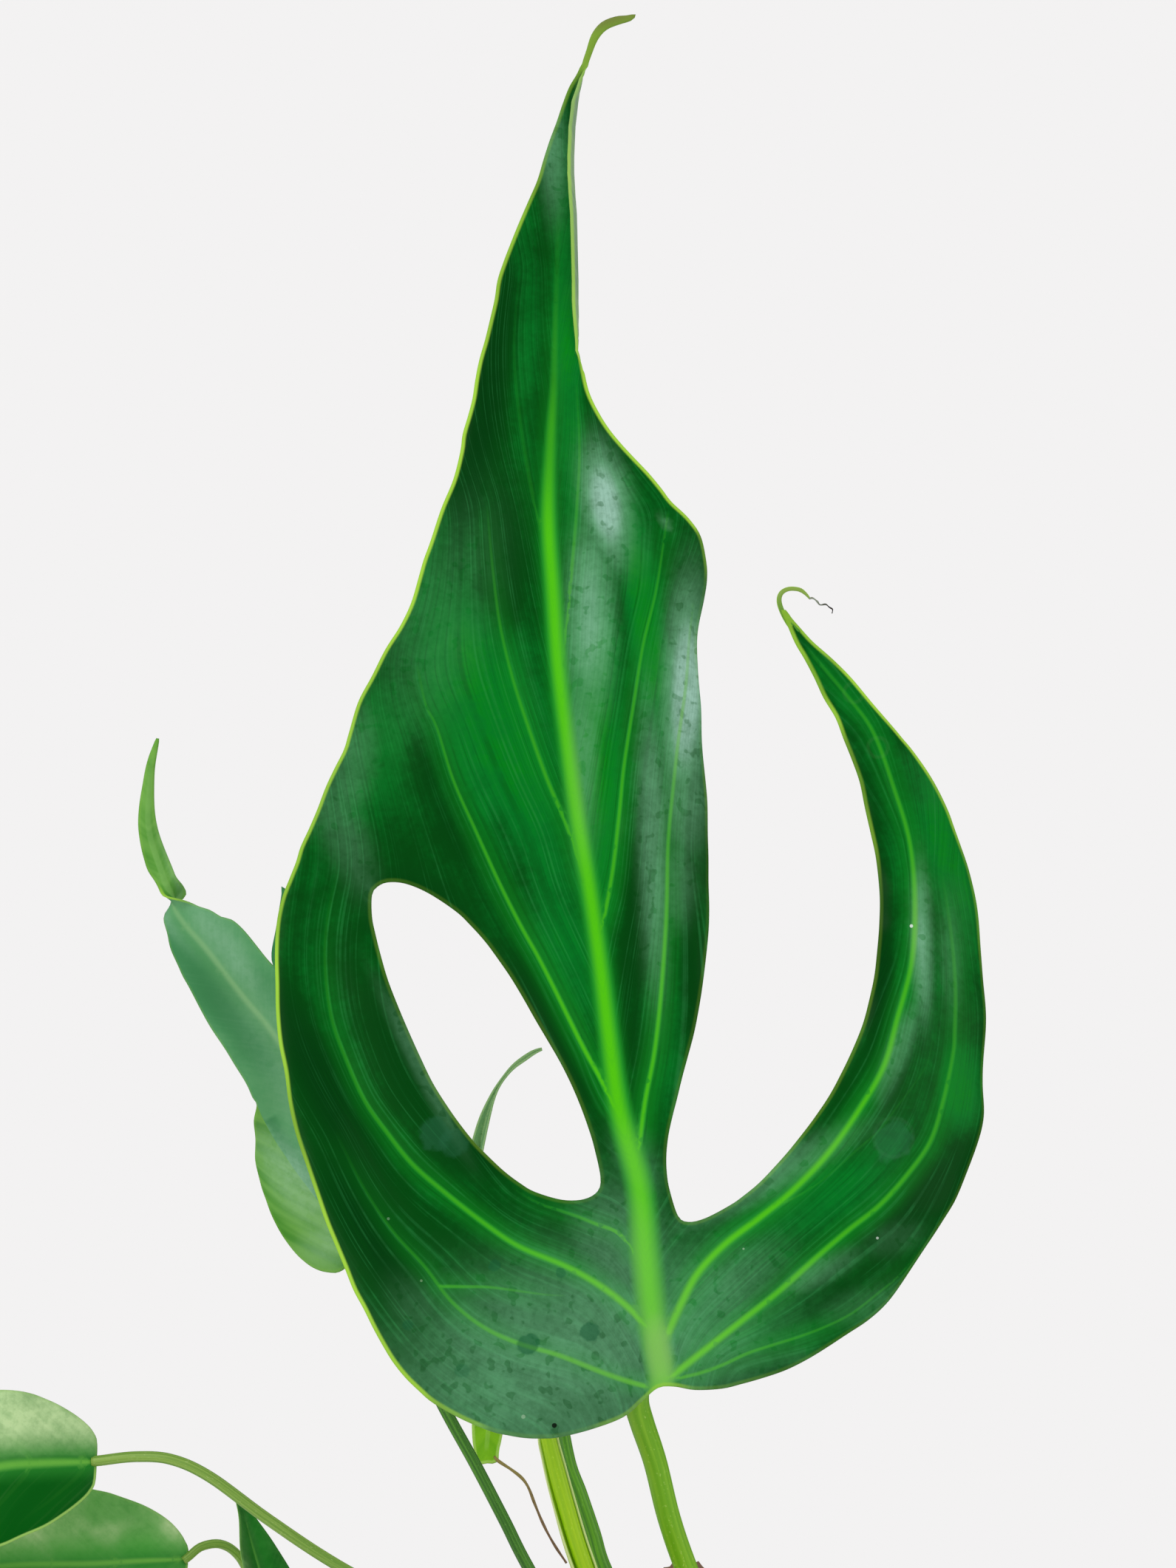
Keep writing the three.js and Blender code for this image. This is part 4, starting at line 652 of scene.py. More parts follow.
def around_spine(spine, face, twist=0, fold=0, curl=(0, 0)):
    """A leaf's surface round its midrib, turned about it, folded along it and curled left and right of it."""
    course = Course(seen(spine))
    face = np.asarray(face, float)

    def place(flat):
        across, along = flat.T
        centre, heading = course.at(along), course.heading(along)
        up = unit(face - heading * (heading @ face)[:, None])
        turn = ramp(twist, along)[:, None]
        up = up * np.cos(turn) + np.cross(heading, up) * np.sin(turn)
        right = np.cross(heading, up)
        bend = np.where(across > 0, ramp(curl[1], along), ramp(curl[0], along))
        bend = np.where(np.abs(bend) < LEAST_BEND, LEAST_BEND, bend)
        start = ramp(fold, along)
        end = start + bend * np.abs(across)
        out = (np.sin(end) - np.sin(start)) / bend
        lift = (np.cos(start) - np.cos(end)) / bend
        return centre + right * (out * np.sign(across))[:, None] + up * lift[:, None]

    return place, course.length


# Meshes. A blade is thinner at its very edge and its margin stands out by a share of its thickness. Distances
# that its finish reads are kept up to the far one.
THIN_EDGE = 0.45
LIP_SHARE = 0.2
FAR = 12
VEIN_STEP = 1.0
STALK_RIDGES = 0.012
# How a blade's skin stands out: how high its panels rise, over what reach beside the veins and the margin, how
# deep the veins' grooves are, and the margin's waves: their height, how fast they run up and across the blade,
# and how far in from the margin they fade.
FLAME_RELIEF = (0.5, 4.5, 3, 0.32, 0.28, 0.33, 0.12, 5)
LESSER_RELIEF = (0.3, 3, 2, 0.22, 0.2, 0.45, 0.2, 4)
STREAK_SLOPE = 1.1


def new_piece(name, places, faces, values, finish, slot, *nodes):
    """A smooth-shaded mesh in the solids' box that rides on the object and stands for the given solids."""
    mesh = bpy.data.meshes.new(name)
    inside = np.clip(np.asarray(places) * MM, *np.array(CAD_BOX, float))
    mesh.from_pydata(inside.tolist(), [], [list(face) for face in faces])
    for key, numbers in values.items():
        layer = mesh.attributes.new(key, "FLOAT", "POINT")
        layer.data.foreach_set("value", np.ascontiguousarray(numbers, np.float32))
    mesh.polygons.foreach_set("use_smooth", np.ones(len(mesh.polygons), bool))
    mesh.materials.append(finish)
    mesh.update()
    piece = bpy.data.objects.new(name, mesh)
    bpy.context.scene.collection.objects.link(piece)
    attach(piece, BODY)
    if any(nodes):
        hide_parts(*nodes)
    return piece


class Heap:
    """Gathers many small bodies into one mesh."""

    def __init__(self):
        self.places, self.faces, self.values, self.count = [], [], {}, 0

    def add(self, places, faces, **values):
        self.places.append(np.asarray(places, float))
        self.faces += [[int(i) + self.count for i in face] for face in faces]
        for key, value in values.items():
            self.values.setdefault(key, []).append(np.broadcast_to(value, len(places)).astype(float))
        self.count += len(places)

    def piece(self, name, finish, slot, *nodes):
        values = {key: np.concatenate(parts) for key, parts in self.values.items()}
        return new_piece(name, np.concatenate(self.places), self.faces, values, finish, slot, *nodes)


def band_faces(rings, sides):
    """The faces between rings of points, each ring closed on itself."""
    corners = ((0, 0), (0, 1), (1, 1), (1, 0))
    return [
        tuple((i + up) * sides + (j + on) % sides for up, on in corners) for i in range(rings) for j in range(sides)]


def tube(points, radius_at, sides, step, ridges=0.0, ridge_count=0, flatten=1.0):
    """A round body along a line, closed at both ends: places, faces and values for its finish."""
    course = Course(points)
    rings = max(4, int(course.length / step))
    along = np.linspace(0, course.length, rings + 1)
    centre, heading = course.at(along), course.heading(along)
    side = np.cross(heading[0], (0.3, 1, 0.2))
    sides_at = []
    for way in heading:
        side = unit(side - way * (side @ way))
        sides_at.append(side)
    first = np.array(sides_at)
    second = np.cross(heading, first)
    angle = turns(sides)
    radius = radius_at(along / course.length)[:, None] * (1 + ridges * np.cos(angle * ridge_count))[None]
    places = (
        centre[:, None] + first[:, None] * (radius * np.cos(angle))[..., None]
        + second[:, None] * (radius * flatten * np.sin(angle))[..., None]
    ).reshape(-1, 3)
    places = np.concatenate([places, centre[:1], centre[-1:]])
    faces = band_faces(rings, sides)
    foot, head, last = len(places) - 2, len(places) - 1, rings * sides
    faces += [(foot, (j + 1) % sides, j) for j in range(sides)]
    faces += [(head, last + j, last + (j + 1) % sides) for j in range(sides)]
    spread = np.concatenate([np.repeat(along, sides), [0, course.length]])
    values = {
        "along": spread,
        "portion": spread / course.length,
        "ring_x": np.concatenate([np.tile(np.cos(angle), rings + 1), [0, 0]]),
        "ring_y": np.concatenate([np.tile(np.sin(angle), rings + 1), [0, 0]]),
    }
    return places, faces, values


def lathe(profile, sides, wobble=None):
    """A turned body: an open or closed (radius, height) profile carried round the axis."""
    profile = np.asarray(profile, float)
    angle = turns(sides)
    radius = np.repeat(profile[:, :1], sides, axis=1)
    height = np.repeat(profile[:, 1:], sides, axis=1)
    if wobble is not None:
        radius = radius + wobble(radius, height, angle)
    places = np.stack([radius * np.cos(angle), radius * np.sin(angle), height], axis=-1).reshape(-1, 3)
    return places, band_faces(len(profile) - 1, sides)


def vein_guides(veins, creases):
    """Lines that a blade's mesh follows, and how far apart points on them are: creases, and five to a vein."""
    guides = [(line, 0.5) for line in creases]
    for each in veins:
        way = unit(np.gradient(each["line"], axis=0))
        side = np.stack([-way[:, 1], way[:, 0]], axis=1)
        apart = max(0.22, float(each["half"].mean()) * 0.5)
        guides += [(each["line"] + side * (each["half"] * shift)[:, None], apart) for shift in (0, -1, 1, -2.1, 2.1)]
    return guides


def vein_values(flat, veins):
    """The veins at each point: the main one's gap, half-width and light, and how near, deep and high they are."""
    best = np.full(len(flat), 1e9)
    gap, half, light = np.full(len(flat), 20.0), np.ones(len(flat)), np.zeros(len(flat))
    clear, groove, rib, glow = gap.copy(), light.copy(), light.copy(), light.copy()
    for each in veins:
        distance, where = nearest_on(flat, each["line"])
        spots = np.arange(len(each["line"]))
        width = np.interp(where, spots, each["half"])
        shine = np.interp(where, spots, each["light"])
        clear = np.minimum(clear, distance)
        groove = np.maximum(groove, shine * np.exp(-((distance / (width + 0.45)) ** 2)))
        rib = np.maximum(rib, 0.55 * shine * width * np.exp(-((distance / (width * 0.9)) ** 2)))
        glow = np.maximum(glow, shine * ramp([(0.3, 1), (3.8, 0)], distance))
        score = distance / width + 1.5 * (1 - shine)
        closer = score < best
        best[closer], gap[closer], half[closer] = score[closer], distance[closer], width[closer]
        light[closer] = shine[closer]
    return gap, half, light, clear, groove, rib, glow


def border_of(faces):
    """The sides that only one triangle has."""
    sides = {}
    for a, b, c in faces:
        for side in ((a, b), (b, c), (c, a)):
            sides[side] = True
    return [(p, q) for p, q in sides if (q, p) not in sides]


def blade_piece(
        name, node, slot, finish, rings, veins, course_of, place, settings, relief=None, marks=None, creases=()):
    """A leaf blade: two faces a thickness apart with a rounded margin, and the values of its finish."""
    spacing, thickness = settings
    flat, faces = flat_mesh(rings, vein_guides(veins, creases), spacing)
    edge = np.min([nearest_on(flat, ring, True)[0] for ring in rings], axis=0)
    gap, half, light, clear, groove, rib, glow = vein_values(flat, veins)
    course, run = course_of(flat)
    middle = place(flat)
    normals = surface_normals(middle, faces)
    quilt = relief(flat, edge, clear, groove) if relief else np.zeros(len(flat))
    thick = thickness * (THIN_EDGE + (1 - THIN_EDGE) * ramp([(0, 0), (1.4, 1)], edge))
    front = middle + normals * (quilt + thick / 2)[:, None]
    rear = middle + normals * (quilt - thick / 2 - rib)[:, None]

    count = len(flat)
    border = border_of(faces)
    outward = np.zeros_like(middle)
    for p, q in border:
        out = np.cross(middle[q] - middle[p], normals[p])
        outward[p] += out
        outward[q] += out
    rim_of = {v: 2 * count + i for i, v in enumerate(sorted({v for pair in border for v in pair}))}
    rim = np.array(sorted(rim_of, key=rim_of.get))
    lip = middle[rim] + normals[rim] * quilt[rim][:, None] + unit(outward[rim]) * thickness * LIP_SHARE
    all_faces = [tuple(f) for f in faces] + [tuple(count + v for v in f[::-1]) for f in faces]
    for p, q in border:
        all_faces.append((q, p, rim_of[p], rim_of[q]))
        all_faces.append((rim_of[q], rim_of[p], count + p, count + q))

    shared = {
        "edge": np.minimum(edge, FAR), "vein_gap": np.minimum(gap, FAR), "vein_half": half, "vein_light": light,
        "glow": glow, "course": course, "run": run, "rim": np.ones(count), "fresh": np.full(count, 0.35),
        **(marks(flat) if marks else {}),
    }
    values = {key: np.concatenate([v, v, v[rim]]) for key, v in shared.items()}
    values["edge"][2 * count:] = 0
    values["rear"] = np.concatenate([np.zeros(count), np.ones(count), np.full(len(rim), 0.5)])
    return new_piece(name, np.concatenate([front, rear, lip]), all_faces, values, finish, slot, node)


def vein(points, foot, light, fading):
    """A vein for blade_piece: its line, half-widths and brightness from foot to end."""
    line = trace(points, VEIN_STEP, closed=False)
    t = np.linspace(0, 1, len(line))
    return {"line": line, "half": foot * (1 - 0.6 * t), "light": light * (1 - t) ** fading}


# Finishes.
def colour(code):
    """A written colour, such as 73a528, as the light that it stands for."""
    parts = [int(code[i:i + 2], 16) / 255 for i in (0, 2, 4)]
    return tuple(p / 12.92 if p <= 0.04045 else ((p + 0.055) / 1.055) ** 2.4 for p in parts)


class Finish:
    """A procedural material: short calls add its nodes and give back their outputs."""

    def __init__(self, name, specular):
        self.material = bpy.data.materials.new(name)
        self.material.use_nodes = True
        self.nodes = self.material.node_tree.nodes
        self.links = self.material.node_tree.links
        self.shader = self.nodes["Principled BSDF"]
        self.shader.inputs["Specular IOR Level"].default_value = specular

    def put(self, value, socket):
        """Links an output to a socket, or sets it to a number, a row of numbers or a written colour."""
        if isinstance(value, bpy.types.NodeSocket):
            self.links.new(value, socket)
            return
        if isinstance(value, str):
            value = colour(value)
        if hasattr(value, "__len__"):
            value = (*value[:3], 1.0) if len(socket.default_value) == 4 else tuple(value)
        socket.default_value = value

    def read(self, name):
        """The value of that name that rides on the mesh, or 0 where it has none."""
        node = self.nodes.new("ShaderNodeAttribute")
        node.attribute_name = name
        return node.outputs["Fac"]

    def math(self, operation, a, b=0.0):
        node = self.nodes.new("ShaderNodeMath")
        node.operation = operation
        self.put(a, node.inputs[0])
        self.put(b, node.inputs[1])
        return node.outputs[0]

    def times(self, value, *others):
        for other in others:
            value = self.math("MULTIPLY", value, other)
        return value

    def plus(self, value, *others):
        for other in others:
            value = self.math("ADD", value, other)
        return value

    def minus(self, value, other):
        return self.math("SUBTRACT", value, other)

    def span(self, value, low, high, start=0.0, end=1.0):
        """The value's way from low to high, smoothed, as a number from start to end."""
        node = self.nodes.new("ShaderNodeMapRange")
        node.interpolation_type = "SMOOTHSTEP"
        keys = ("Value", "From Min", "From Max", "To Min", "To Max")
        for key, number in zip(keys, (value, low, high, start, end)):
            self.put(number, node.inputs[key])
        return node.outputs[0]

    def mix(self, factor, a, b):
        node = self.nodes.new("ShaderNodeMix")
        node.data_type = "RGBA"
        self.put(factor, node.inputs["Factor"])
        self.put(a, node.inputs[6])
        self.put(b, node.inputs[7])
        return node.outputs[2]

    def vector(self, x, y, z):
        node = self.nodes.new("ShaderNodeCombineXYZ")
        for value, socket in zip((x, y, z), node.inputs):
            self.put(value, socket)
        return node.outputs[0]

    def place(self):
        return self.nodes.new("ShaderNodeTexCoord").outputs["Object"]

    def noise(self, vector, scale, detail=2.0, roughness=0.5):
        node = self.nodes.new("ShaderNodeTexNoise")
        self.put(vector, node.inputs["Vector"])
        for key, number in (("Scale", scale), ("Detail", detail), ("Roughness", roughness)):
            node.inputs[key].default_value = number
        return node.outputs[0]

    def lines_on_tube(self, round_it, along_it, detail):
        """Noise on a mesh from tube(), repeated so often round it and per millimetre along it."""
        x, y = (self.times(self.read(key), round_it) for key in ("ring_x", "ring_y"))
        return self.noise(self.vector(x, y, self.times(self.read("along"), along_it)), 1.0, detail)

    def finish(self, base, roughness, height, strength, distance):
        """Sets the skin's colour and roughness, and a bump as high as distance, in millimetres."""
        self.put(base, self.shader.inputs["Base Color"])
        self.put(roughness, self.shader.inputs["Roughness"])
        bump = self.nodes.new("ShaderNodeBump")
        bump.inputs["Strength"].default_value = strength
        bump.inputs["Distance"].default_value = distance * MM
        self.put(height, bump.inputs["Height"])
        self.links.new(bump.outputs[0], self.shader.inputs["Normal"])
        return self.material


# What a leaf's look may leave out. Shares: how strong broad streaks, fine bright and dark rays, dark blotches
# and pale scratches are, and the least painted sheen between clouds. The line is the bright margin's width.
# Then the colours that stand in for those left out.
PLAIN_LOOK = {
    "specular": 0.2, "rough": 0.36, "streak": 0.4, "fine": 0.05, "dim_ray": 0.0, "blotch": 0.6, "scratch": 0.05,
    "mottle": 0.9, "line": 0.8,
}
STAND_INS = {
    "lush": "fresh", "ray": "fresh", "thin_wax": "wax", "haze": "wax", "vein_body": "vein",
    "under_wax": "under_fresh",
}
# Noise on a leaf: streaks as [per unit across them, per millimetre along them, detail], and spots per metre.
FINE_STREAKS = (0.85, 0.035, 3.0)
BROAD_STREAKS = (0.3, 0.04, 2.0)
CLOUDS, RAGS, BLOTCHES, GRAINS = 50.0, 150.0, 520.0, 900.0
WITHERED_GREEN, WITHERED_BROWN = "86ad3e", "726c42"


class LeafSkin(Finish):
    """A leaf's skin, laid by the values that ride on its mesh."""

    def __init__(self, name, look):
        super().__init__(name, look["specular"])
        self.look = look
        self.edge, self.rim, self.pale, self.light = map(self.read, ("edge", "rim", "pale", "vein_light"))
        self.ratio = self.math("DIVIDE", self.read("vein_gap"), self.read("vein_half"))
        self.rear = self.math("MINIMUM", self.math("MAXIMUM", self.read("rear"), self.read("turned")), 1.0)
        self.fine, self.broad = self.streaks(*FINE_STREAKS), self.streaks(*BROAD_STREAKS)
        place = self.place()
        self.cloud, self.ragged = self.noise(place, CLOUDS, 3.0), self.noise(place, RAGS, 4.0, 0.65)
        self.blotch, self.grain = self.noise(place, BLOTCHES, 1.0), self.noise(place, GRAINS, 3.0, 0.6)

    def streaks(self, across, along, detail):
        """Noise drawn out along the side veins."""
        across, along = self.times(self.read("course"), across), self.times(self.read("run"), along)
        return self.noise(self.vector(across, along, self.rear), 1.0, detail)

    def greens(self):
        """The skin between the veins: deep to fresh, the fresh values partly painted light on the flame blade,
        brighter beside the veins, with broken rays, and darkened towards the shade colour by painted shade.
        """
        look, dark = self.look, self.read("dark")
        small = self.plus(self.times(self.fine, 0.45), self.times(self.ragged, 1.7), self.grain)
        tone = self.plus(
            self.times(self.read("fresh"), 0.85), self.times(self.broad, look["streak"]),
            self.times(self.cloud, 0.65), self.times(small, 0.35))
        # Painted shade: the dark values lower the tone and mix the skin towards the shade colour.
        tone = self.minus(self.minus(tone, 0.52), self.times(dark, 0.7))
        skin = self.mix(self.span(tone, 0.4, 1.2), look["deep"], look["fresh"])
        skin = self.mix(self.span(tone, 1.0, 1.6), skin, look["lush"])
        skin = self.mix(self.times(dark, 0.6), skin, look["shade"])
        skin = self.mix(self.times(self.read("glow"), 0.72), skin, look["halo"])
        broken = self.span(self.ragged, 0.36, 0.58, 0.25, 1.0)
        dim = self.span(self.fine, 0.49, 0.36, 0.0, look["dim_ray"])
        skin = self.mix(self.times(dim, broken), skin, look["deep"])
        bright = self.span(self.fine, 0.53, 0.66, 0.0, look["fine"])
        return self.mix(self.times(bright, broken), skin, look["ray"])

    def wax(self):
        """How thick the painted sheen lies, a pale reflection of the bright surroundings, worn by noise of every
        size, with faint scratches.
        """
        wax = self.times(
            self.pale, self.span(self.ragged, 0.32, 0.62, 0.8, 1.04),
            self.span(self.blotch, 0.61, 0.67, 1.0, self.look["blotch"]),
            self.span(self.fine, 0.34, 0.64, 0.9, 1.04), self.span(self.grain, 0.32, 0.6, 0.86, 1.08),
            self.span(self.cloud, 0.36, 0.56, self.look["mottle"], 1.0))
        return self.plus(wax, self.times(self.span(self.fine, 0.55, 0.7), self.look["scratch"]))

    def veins(self, skin):
        """Adds each vein's soft body and bright core, paled where the painted sheen lies."""
        look = self.look
        body = self.times(self.span(self.ratio, 1.6, 0.7), self.times(self.light, 0.85))
        skin = self.mix(body, skin, look["vein_body"])
        core = self.times(self.span(self.ratio, 1.15, 0.1), self.times(self.light, self.light))
        skin = self.mix(self.times(core, self.span(self.fine, 0.3, 0.6, 0.9, 1.0)), skin, look["vein"])
        return self.mix(self.times(self.pale, body, 0.75), skin, look["haze"])

    def blemish(self, skin, across, up, radius, strength, tint, ring):
        """Adds a ragged spot or a thin ring."""
        x, y = self.minus(self.read("across"), across), self.minus(self.read("up"), up)
        away = self.math("SQRT", self.plus(self.times(x, x), self.times(y, y)))
        if ring:
            spot = self.span(self.math("ABSOLUTE", self.minus(away, radius)), 0.5, 0.1, 0.0, strength)
        else:
            away = self.plus(away, self.times(self.minus(self.ragged, 0.5), radius * 2.2))
            spot = self.span(away, radius * 1.15, radius * 0.8, 0.0, strength)
        return self.mix(spot, skin, tint)

    def underside(self, wax):
        look = self.look
        skin = self.mix(self.span(self.plus(self.broad, self.cloud), 0.75, 1.2), look["under"], look["under_fresh"])
        # The painted sheen on the underside.
        skin = self.mix(self.times(wax, 0.8), skin, look["under_wax"])
        skin = self.mix(self.times(self.span(self.ratio, 1.4, 0.7), self.light), skin, look["under_vein"])
        return self.mix(self.times(self.span(self.edge, 0.6, 0.25), self.rim), skin, look["margin"])


def leaf_finish(name, blemishes=(), **look):
    """Leaf skin: greens that follow the veins, a pale painted sheen, bright veins and margin, and its underside."""
    look = {**PLAIN_LOOK, **{key: look[other] for key, other in STAND_INS.items()}, **look}
    f = LeafSkin(name, look)
    wax = f.wax()
    # The painted sheen's colour, paler where the sheen lies thickest.
    bloom = f.mix(f.span(f.pale, 0.55, 1.0), look["thin_wax"], look["wax"])
    skin = f.veins(f.mix(wax, f.greens(), bloom))
    for blemish in blemishes:
        skin = f.blemish(skin, *blemish)
    line = f.times(f.span(f.edge, look["line"], look["line"] * 0.35), f.rim)
    skin = f.mix(line, skin, look["margin"])
    base = f.mix(f.span(f.rear, 0.3, 0.6), skin, f.underside(wax))
    spent = f.read("spent")
    base = f.mix(f.span(spent, 0.0, 0.5), base, WITHERED_GREEN)
    base = f.mix(f.span(spent, 0.8, 1.0, 0.0, 0.7), base, WITHERED_BROWN)
    rough = f.plus(f.span(wax, 0.0, 1.0, look["rough"], 0.55), f.times(f.rear, 0.25))
    return f.finish(base, rough, f.plus(f.times(f.broad, 0.5), f.times(f.grain, 0.3)), 0.3, 0.12)


def stalk_finish(name, body, dark, flecks, foot):
    """Stalk skin: long fine streaks, pale flecks, and a duller foot."""
    f = Finish(name, specular=0.4)
    lines, spots = f.lines_on_tube(3.2, 0.035, 3.0), f.lines_on_tube(5.0, 1.3, 2.0)
    base = f.mix(f.span(lines, 0.36, 0.64), body, dark)
    base = f.mix(f.span(spots, 0.62, 0.74, 0.0, 0.6), base, flecks)
    base = f.mix(f.span(f.read("portion"), 0.16, 0.0), base, foot)
    return f.finish(base, 0.42, f.plus(lines, f.times(spots, 0.3)), 0.3, 0.08)


def withered(name, fresh, dead):
    """A dried thread, pale where it starts and dark at its end."""
    f = Finish(name, specular=0.2)
    base = f.mix(f.span(f.read("portion"), 0.1, 0.8), fresh, dead)
    grain = f.noise(f.place(), GRAINS, 3.0)
    return f.finish(f.mix(f.span(grain, 0.5, 0.7, 0.0, 0.4), base, "6b4f3a"), 0.8, grain, 0.3, 0.05)


# What a user can change.
class StudioSettings(bpy.types.PropertyGroup):
    lens: bpy.props.FloatProperty(
        name="Lens", description="Focal length of the camera, in millimetres", default=50, min=20, unit="CAMERA")
    backdrop: bpy.props.FloatVectorProperty(
        name="Backdrop", description="Colour behind the plant", subtype="COLOR", default=colour("f3f2f2"))
    surround: bpy.props.FloatProperty(
        name="Surround", description="Strength of the light from all round", default=0.62, min=0)
    sheen: bpy.props.FloatProperty(
        name="Sheen", description="How much of the light from all round shines back", default=0.15, min=0, max=1)
    window_power: bpy.props.FloatProperty(
        name="Window", description="Power of the soft light at the upper left", default=3.4, min=0, unit="POWER")
    fill_power: bpy.props.FloatProperty(
        name="Fill", description="Power of the soft light at the right", default=1.4, min=0, unit="POWER")
    floor_radius: bpy.props.FloatProperty(
        name="Floor", description="Radius of the pale floor", default=0.46, min=0.1, unit="LENGTH")


class FlameLeafSettings(bpy.types.PropertyGroup):
    thickness: bpy.props.FloatProperty(
        name="Thickness", description="Thickness of the blade", default=0.0007, unit="LENGTH", precision=5)
    spacing: bpy.props.FloatProperty(
        name="Fineness", description="Distance between the blade's points", default=0.00085, unit="LENGTH",
        precision=5)
    deep: bpy.props.FloatVectorProperty(
        name="Deep green", description="Darkest green of the skin", subtype="COLOR", default=colour("004c0e"))
    fresh: bpy.props.FloatVectorProperty(
        name="Fresh green", description="Lighter streaks of the skin", subtype="COLOR", default=colour("007c26"))
    midrib: bpy.props.FloatVectorProperty(
        name="Vein", description="Midrib and side veins", subtype="COLOR", default=colour("58d00e"))
    margin: bpy.props.FloatVectorProperty(
        name="Margin", description="Bright line along the margin", subtype="COLOR", default=colour("a8dc44"))
    # The colour of the painted sheen, a pale reflection of the bright surroundings on the blade.
    wax: bpy.props.FloatVectorProperty(
        name="Wax", description="Pale bloom on the skin", subtype="COLOR", default=colour("a0ccb8"))


class LesserLeafSettings(bpy.types.PropertyGroup):
    spacing: bpy.props.FloatProperty(
        name="Fineness", description="Distance between the blades' points", default=0.0009, unit="LENGTH",
        precision=5)
    thickness: bpy.props.FloatProperty(
        name="Thickness", description="Thickness of the blades", default=0.0007, unit="LENGTH", precision=5)
    juvenile: bpy.props.FloatVectorProperty(
        name="Juvenile leaf", description="Green of the small round leaves", subtype="COLOR",
        default=colour("369434"))
    underside: bpy.props.FloatVectorProperty(
        name="Underside", description="Pale underside of the blades", subtype="COLOR", default=colour("86b858"))


class PotSettings(bpy.types.PropertyGroup):
    clay: bpy.props.FloatVectorProperty(
        name="Clay", description="Unglazed clay", subtype="COLOR", default=colour("b5694a"))
    bark: bpy.props.FloatVectorProperty(
        name="Bark", description="Darker bark chips", subtype="COLOR", default=colour("4a3426"))
    chips: bpy.props.IntProperty(
        name="Chips", description="Number of bark chips on the mix", default=430, min=0)
    sides: bpy.props.IntProperty(
        name="Sides", description="Points round the pot", default=144, min=24)


class MONSTERA_OT_studio(bpy.types.Operator):
    """Makes the pale floor, the soft lights and the camera"""

    bl_idname = "monstera.studio"
    bl_label = "Studio"
    bl_options = {"REGISTER", "UNDO"}

    middle = (-0.01, 0, 0.28)

    def execute(self, context):
        scene = context.scene
        settings = scene.monstera_studio
        camera = bpy.data.objects.new("camera", bpy.data.cameras.new("camera"))
        camera.data.lens = settings.lens
        camera.data.sensor_width = 36
        camera.data.clip_start, camera.data.clip_end = 0.02, 60
        camera.location = Vector(EYE) * MM
        camera.rotation_euler = (math.pi / 2, 0, 0)
        scene.collection.objects.link(camera)
        scene.camera = camera
        scene.view_settings.view_transform = "Standard"
        self.floor(scene, settings)
        self.surround(scene, settings)
        window, fill = settings.window_power, settings.fill_power
        self.lamp(scene, "window_light", (-0.62, -0.62, 0.78), 0.75, window, (1.0, 0.99, 0.97))
        self.lamp(scene, "fill_light", (0.8, -0.35, 0.5), 0.7, fill, (0.97, 1.0, 1.0))
        self.lamp(scene, "back_light", (0.25, 0.85, 0.8), 0.8, fill, (1.0, 1.0, 1.0))
        return {"FINISHED"}

    def floor(self, scene, settings):
        """A pale round floor just under the pot, which fades out at its edge."""
        places, faces = lathe([(0.001, 0), (0.2, 0), (0.5, 0), (1, 0)], 96)
        mesh = bpy.data.meshes.new("floor")
        radius = settings.floor_radius
        mesh.from_pydata([(x * radius, y * radius, -0.0002) for x, y, _ in places], [], faces)
        f = Finish("pale_floor", specular=0.1)
        shape = f.nodes.new("ShaderNodeVectorMath")
        shape.operation = "LENGTH"
        f.put(f.place(), shape.inputs[0])
        fade = f.span(shape.outputs["Value"], radius * 0.45, radius * 0.98, 1.0, 0.0)
        f.put(fade, f.shader.inputs["Alpha"])
        f.put((0.86, 0.86, 0.85), f.shader.inputs["Base Color"])
        f.put(0.8, f.shader.inputs["Roughness"])
        mesh.materials.append(f.material)
        floor = bpy.data.objects.new("floor", mesh)
        scene.collection.objects.link(floor)

    def surround(self, scene, settings):
        """Even light from all round, dimmer in what shines back, behind a plain backdrop."""
        world = bpy.data.worlds.new("surround")
        world.use_nodes = True
        scene.world = world
        nodes, links = world.node_tree.nodes, world.node_tree.links
        seen_light = nodes["Background"]
        seen_light.inputs["Color"].default_value = (*settings.backdrop, 1)
        light = nodes.new("ShaderNodeBackground")
        light.inputs["Color"].default_value = (1, 1, 1, 1)
        path, mix = nodes.new("ShaderNodeLightPath"), nodes.new("ShaderNodeMixShader")
        glossy = nodes.new("ShaderNodeMapRange")
        glossy.inputs["To Min"].default_value = settings.surround
        glossy.inputs["To Max"].default_value = settings.surround * settings.sheen
        links.new(path.outputs["Is Glossy Ray"], glossy.inputs["Value"])
        links.new(glossy.outputs[0], light.inputs["Strength"])
        links.new(path.outputs["Is Camera Ray"], mix.inputs[0])
        links.new(light.outputs[0], mix.inputs[1])
        links.new(seen_light.outputs[0], mix.inputs[2])
        links.new(mix.outputs[0], nodes["World Output"].inputs["Surface"])

    def lamp(self, scene, name, place, size, power, tint):
        """A soft round light that points at the plant's middle."""
        light = bpy.data.lights.new(name, "AREA")
        light.shape, light.size, light.energy, light.color = "DISK", size, power, tint
        lamp = bpy.data.objects.new(name, light)
        lamp.location = place
        lamp.rotation_mode = "QUATERNION"
        lamp.rotation_quaternion = (Vector(self.middle) - Vector(place)).to_track_quat("-Z", "Y")
        lamp.visible_camera = False
        scene.collection.objects.link(lamp)


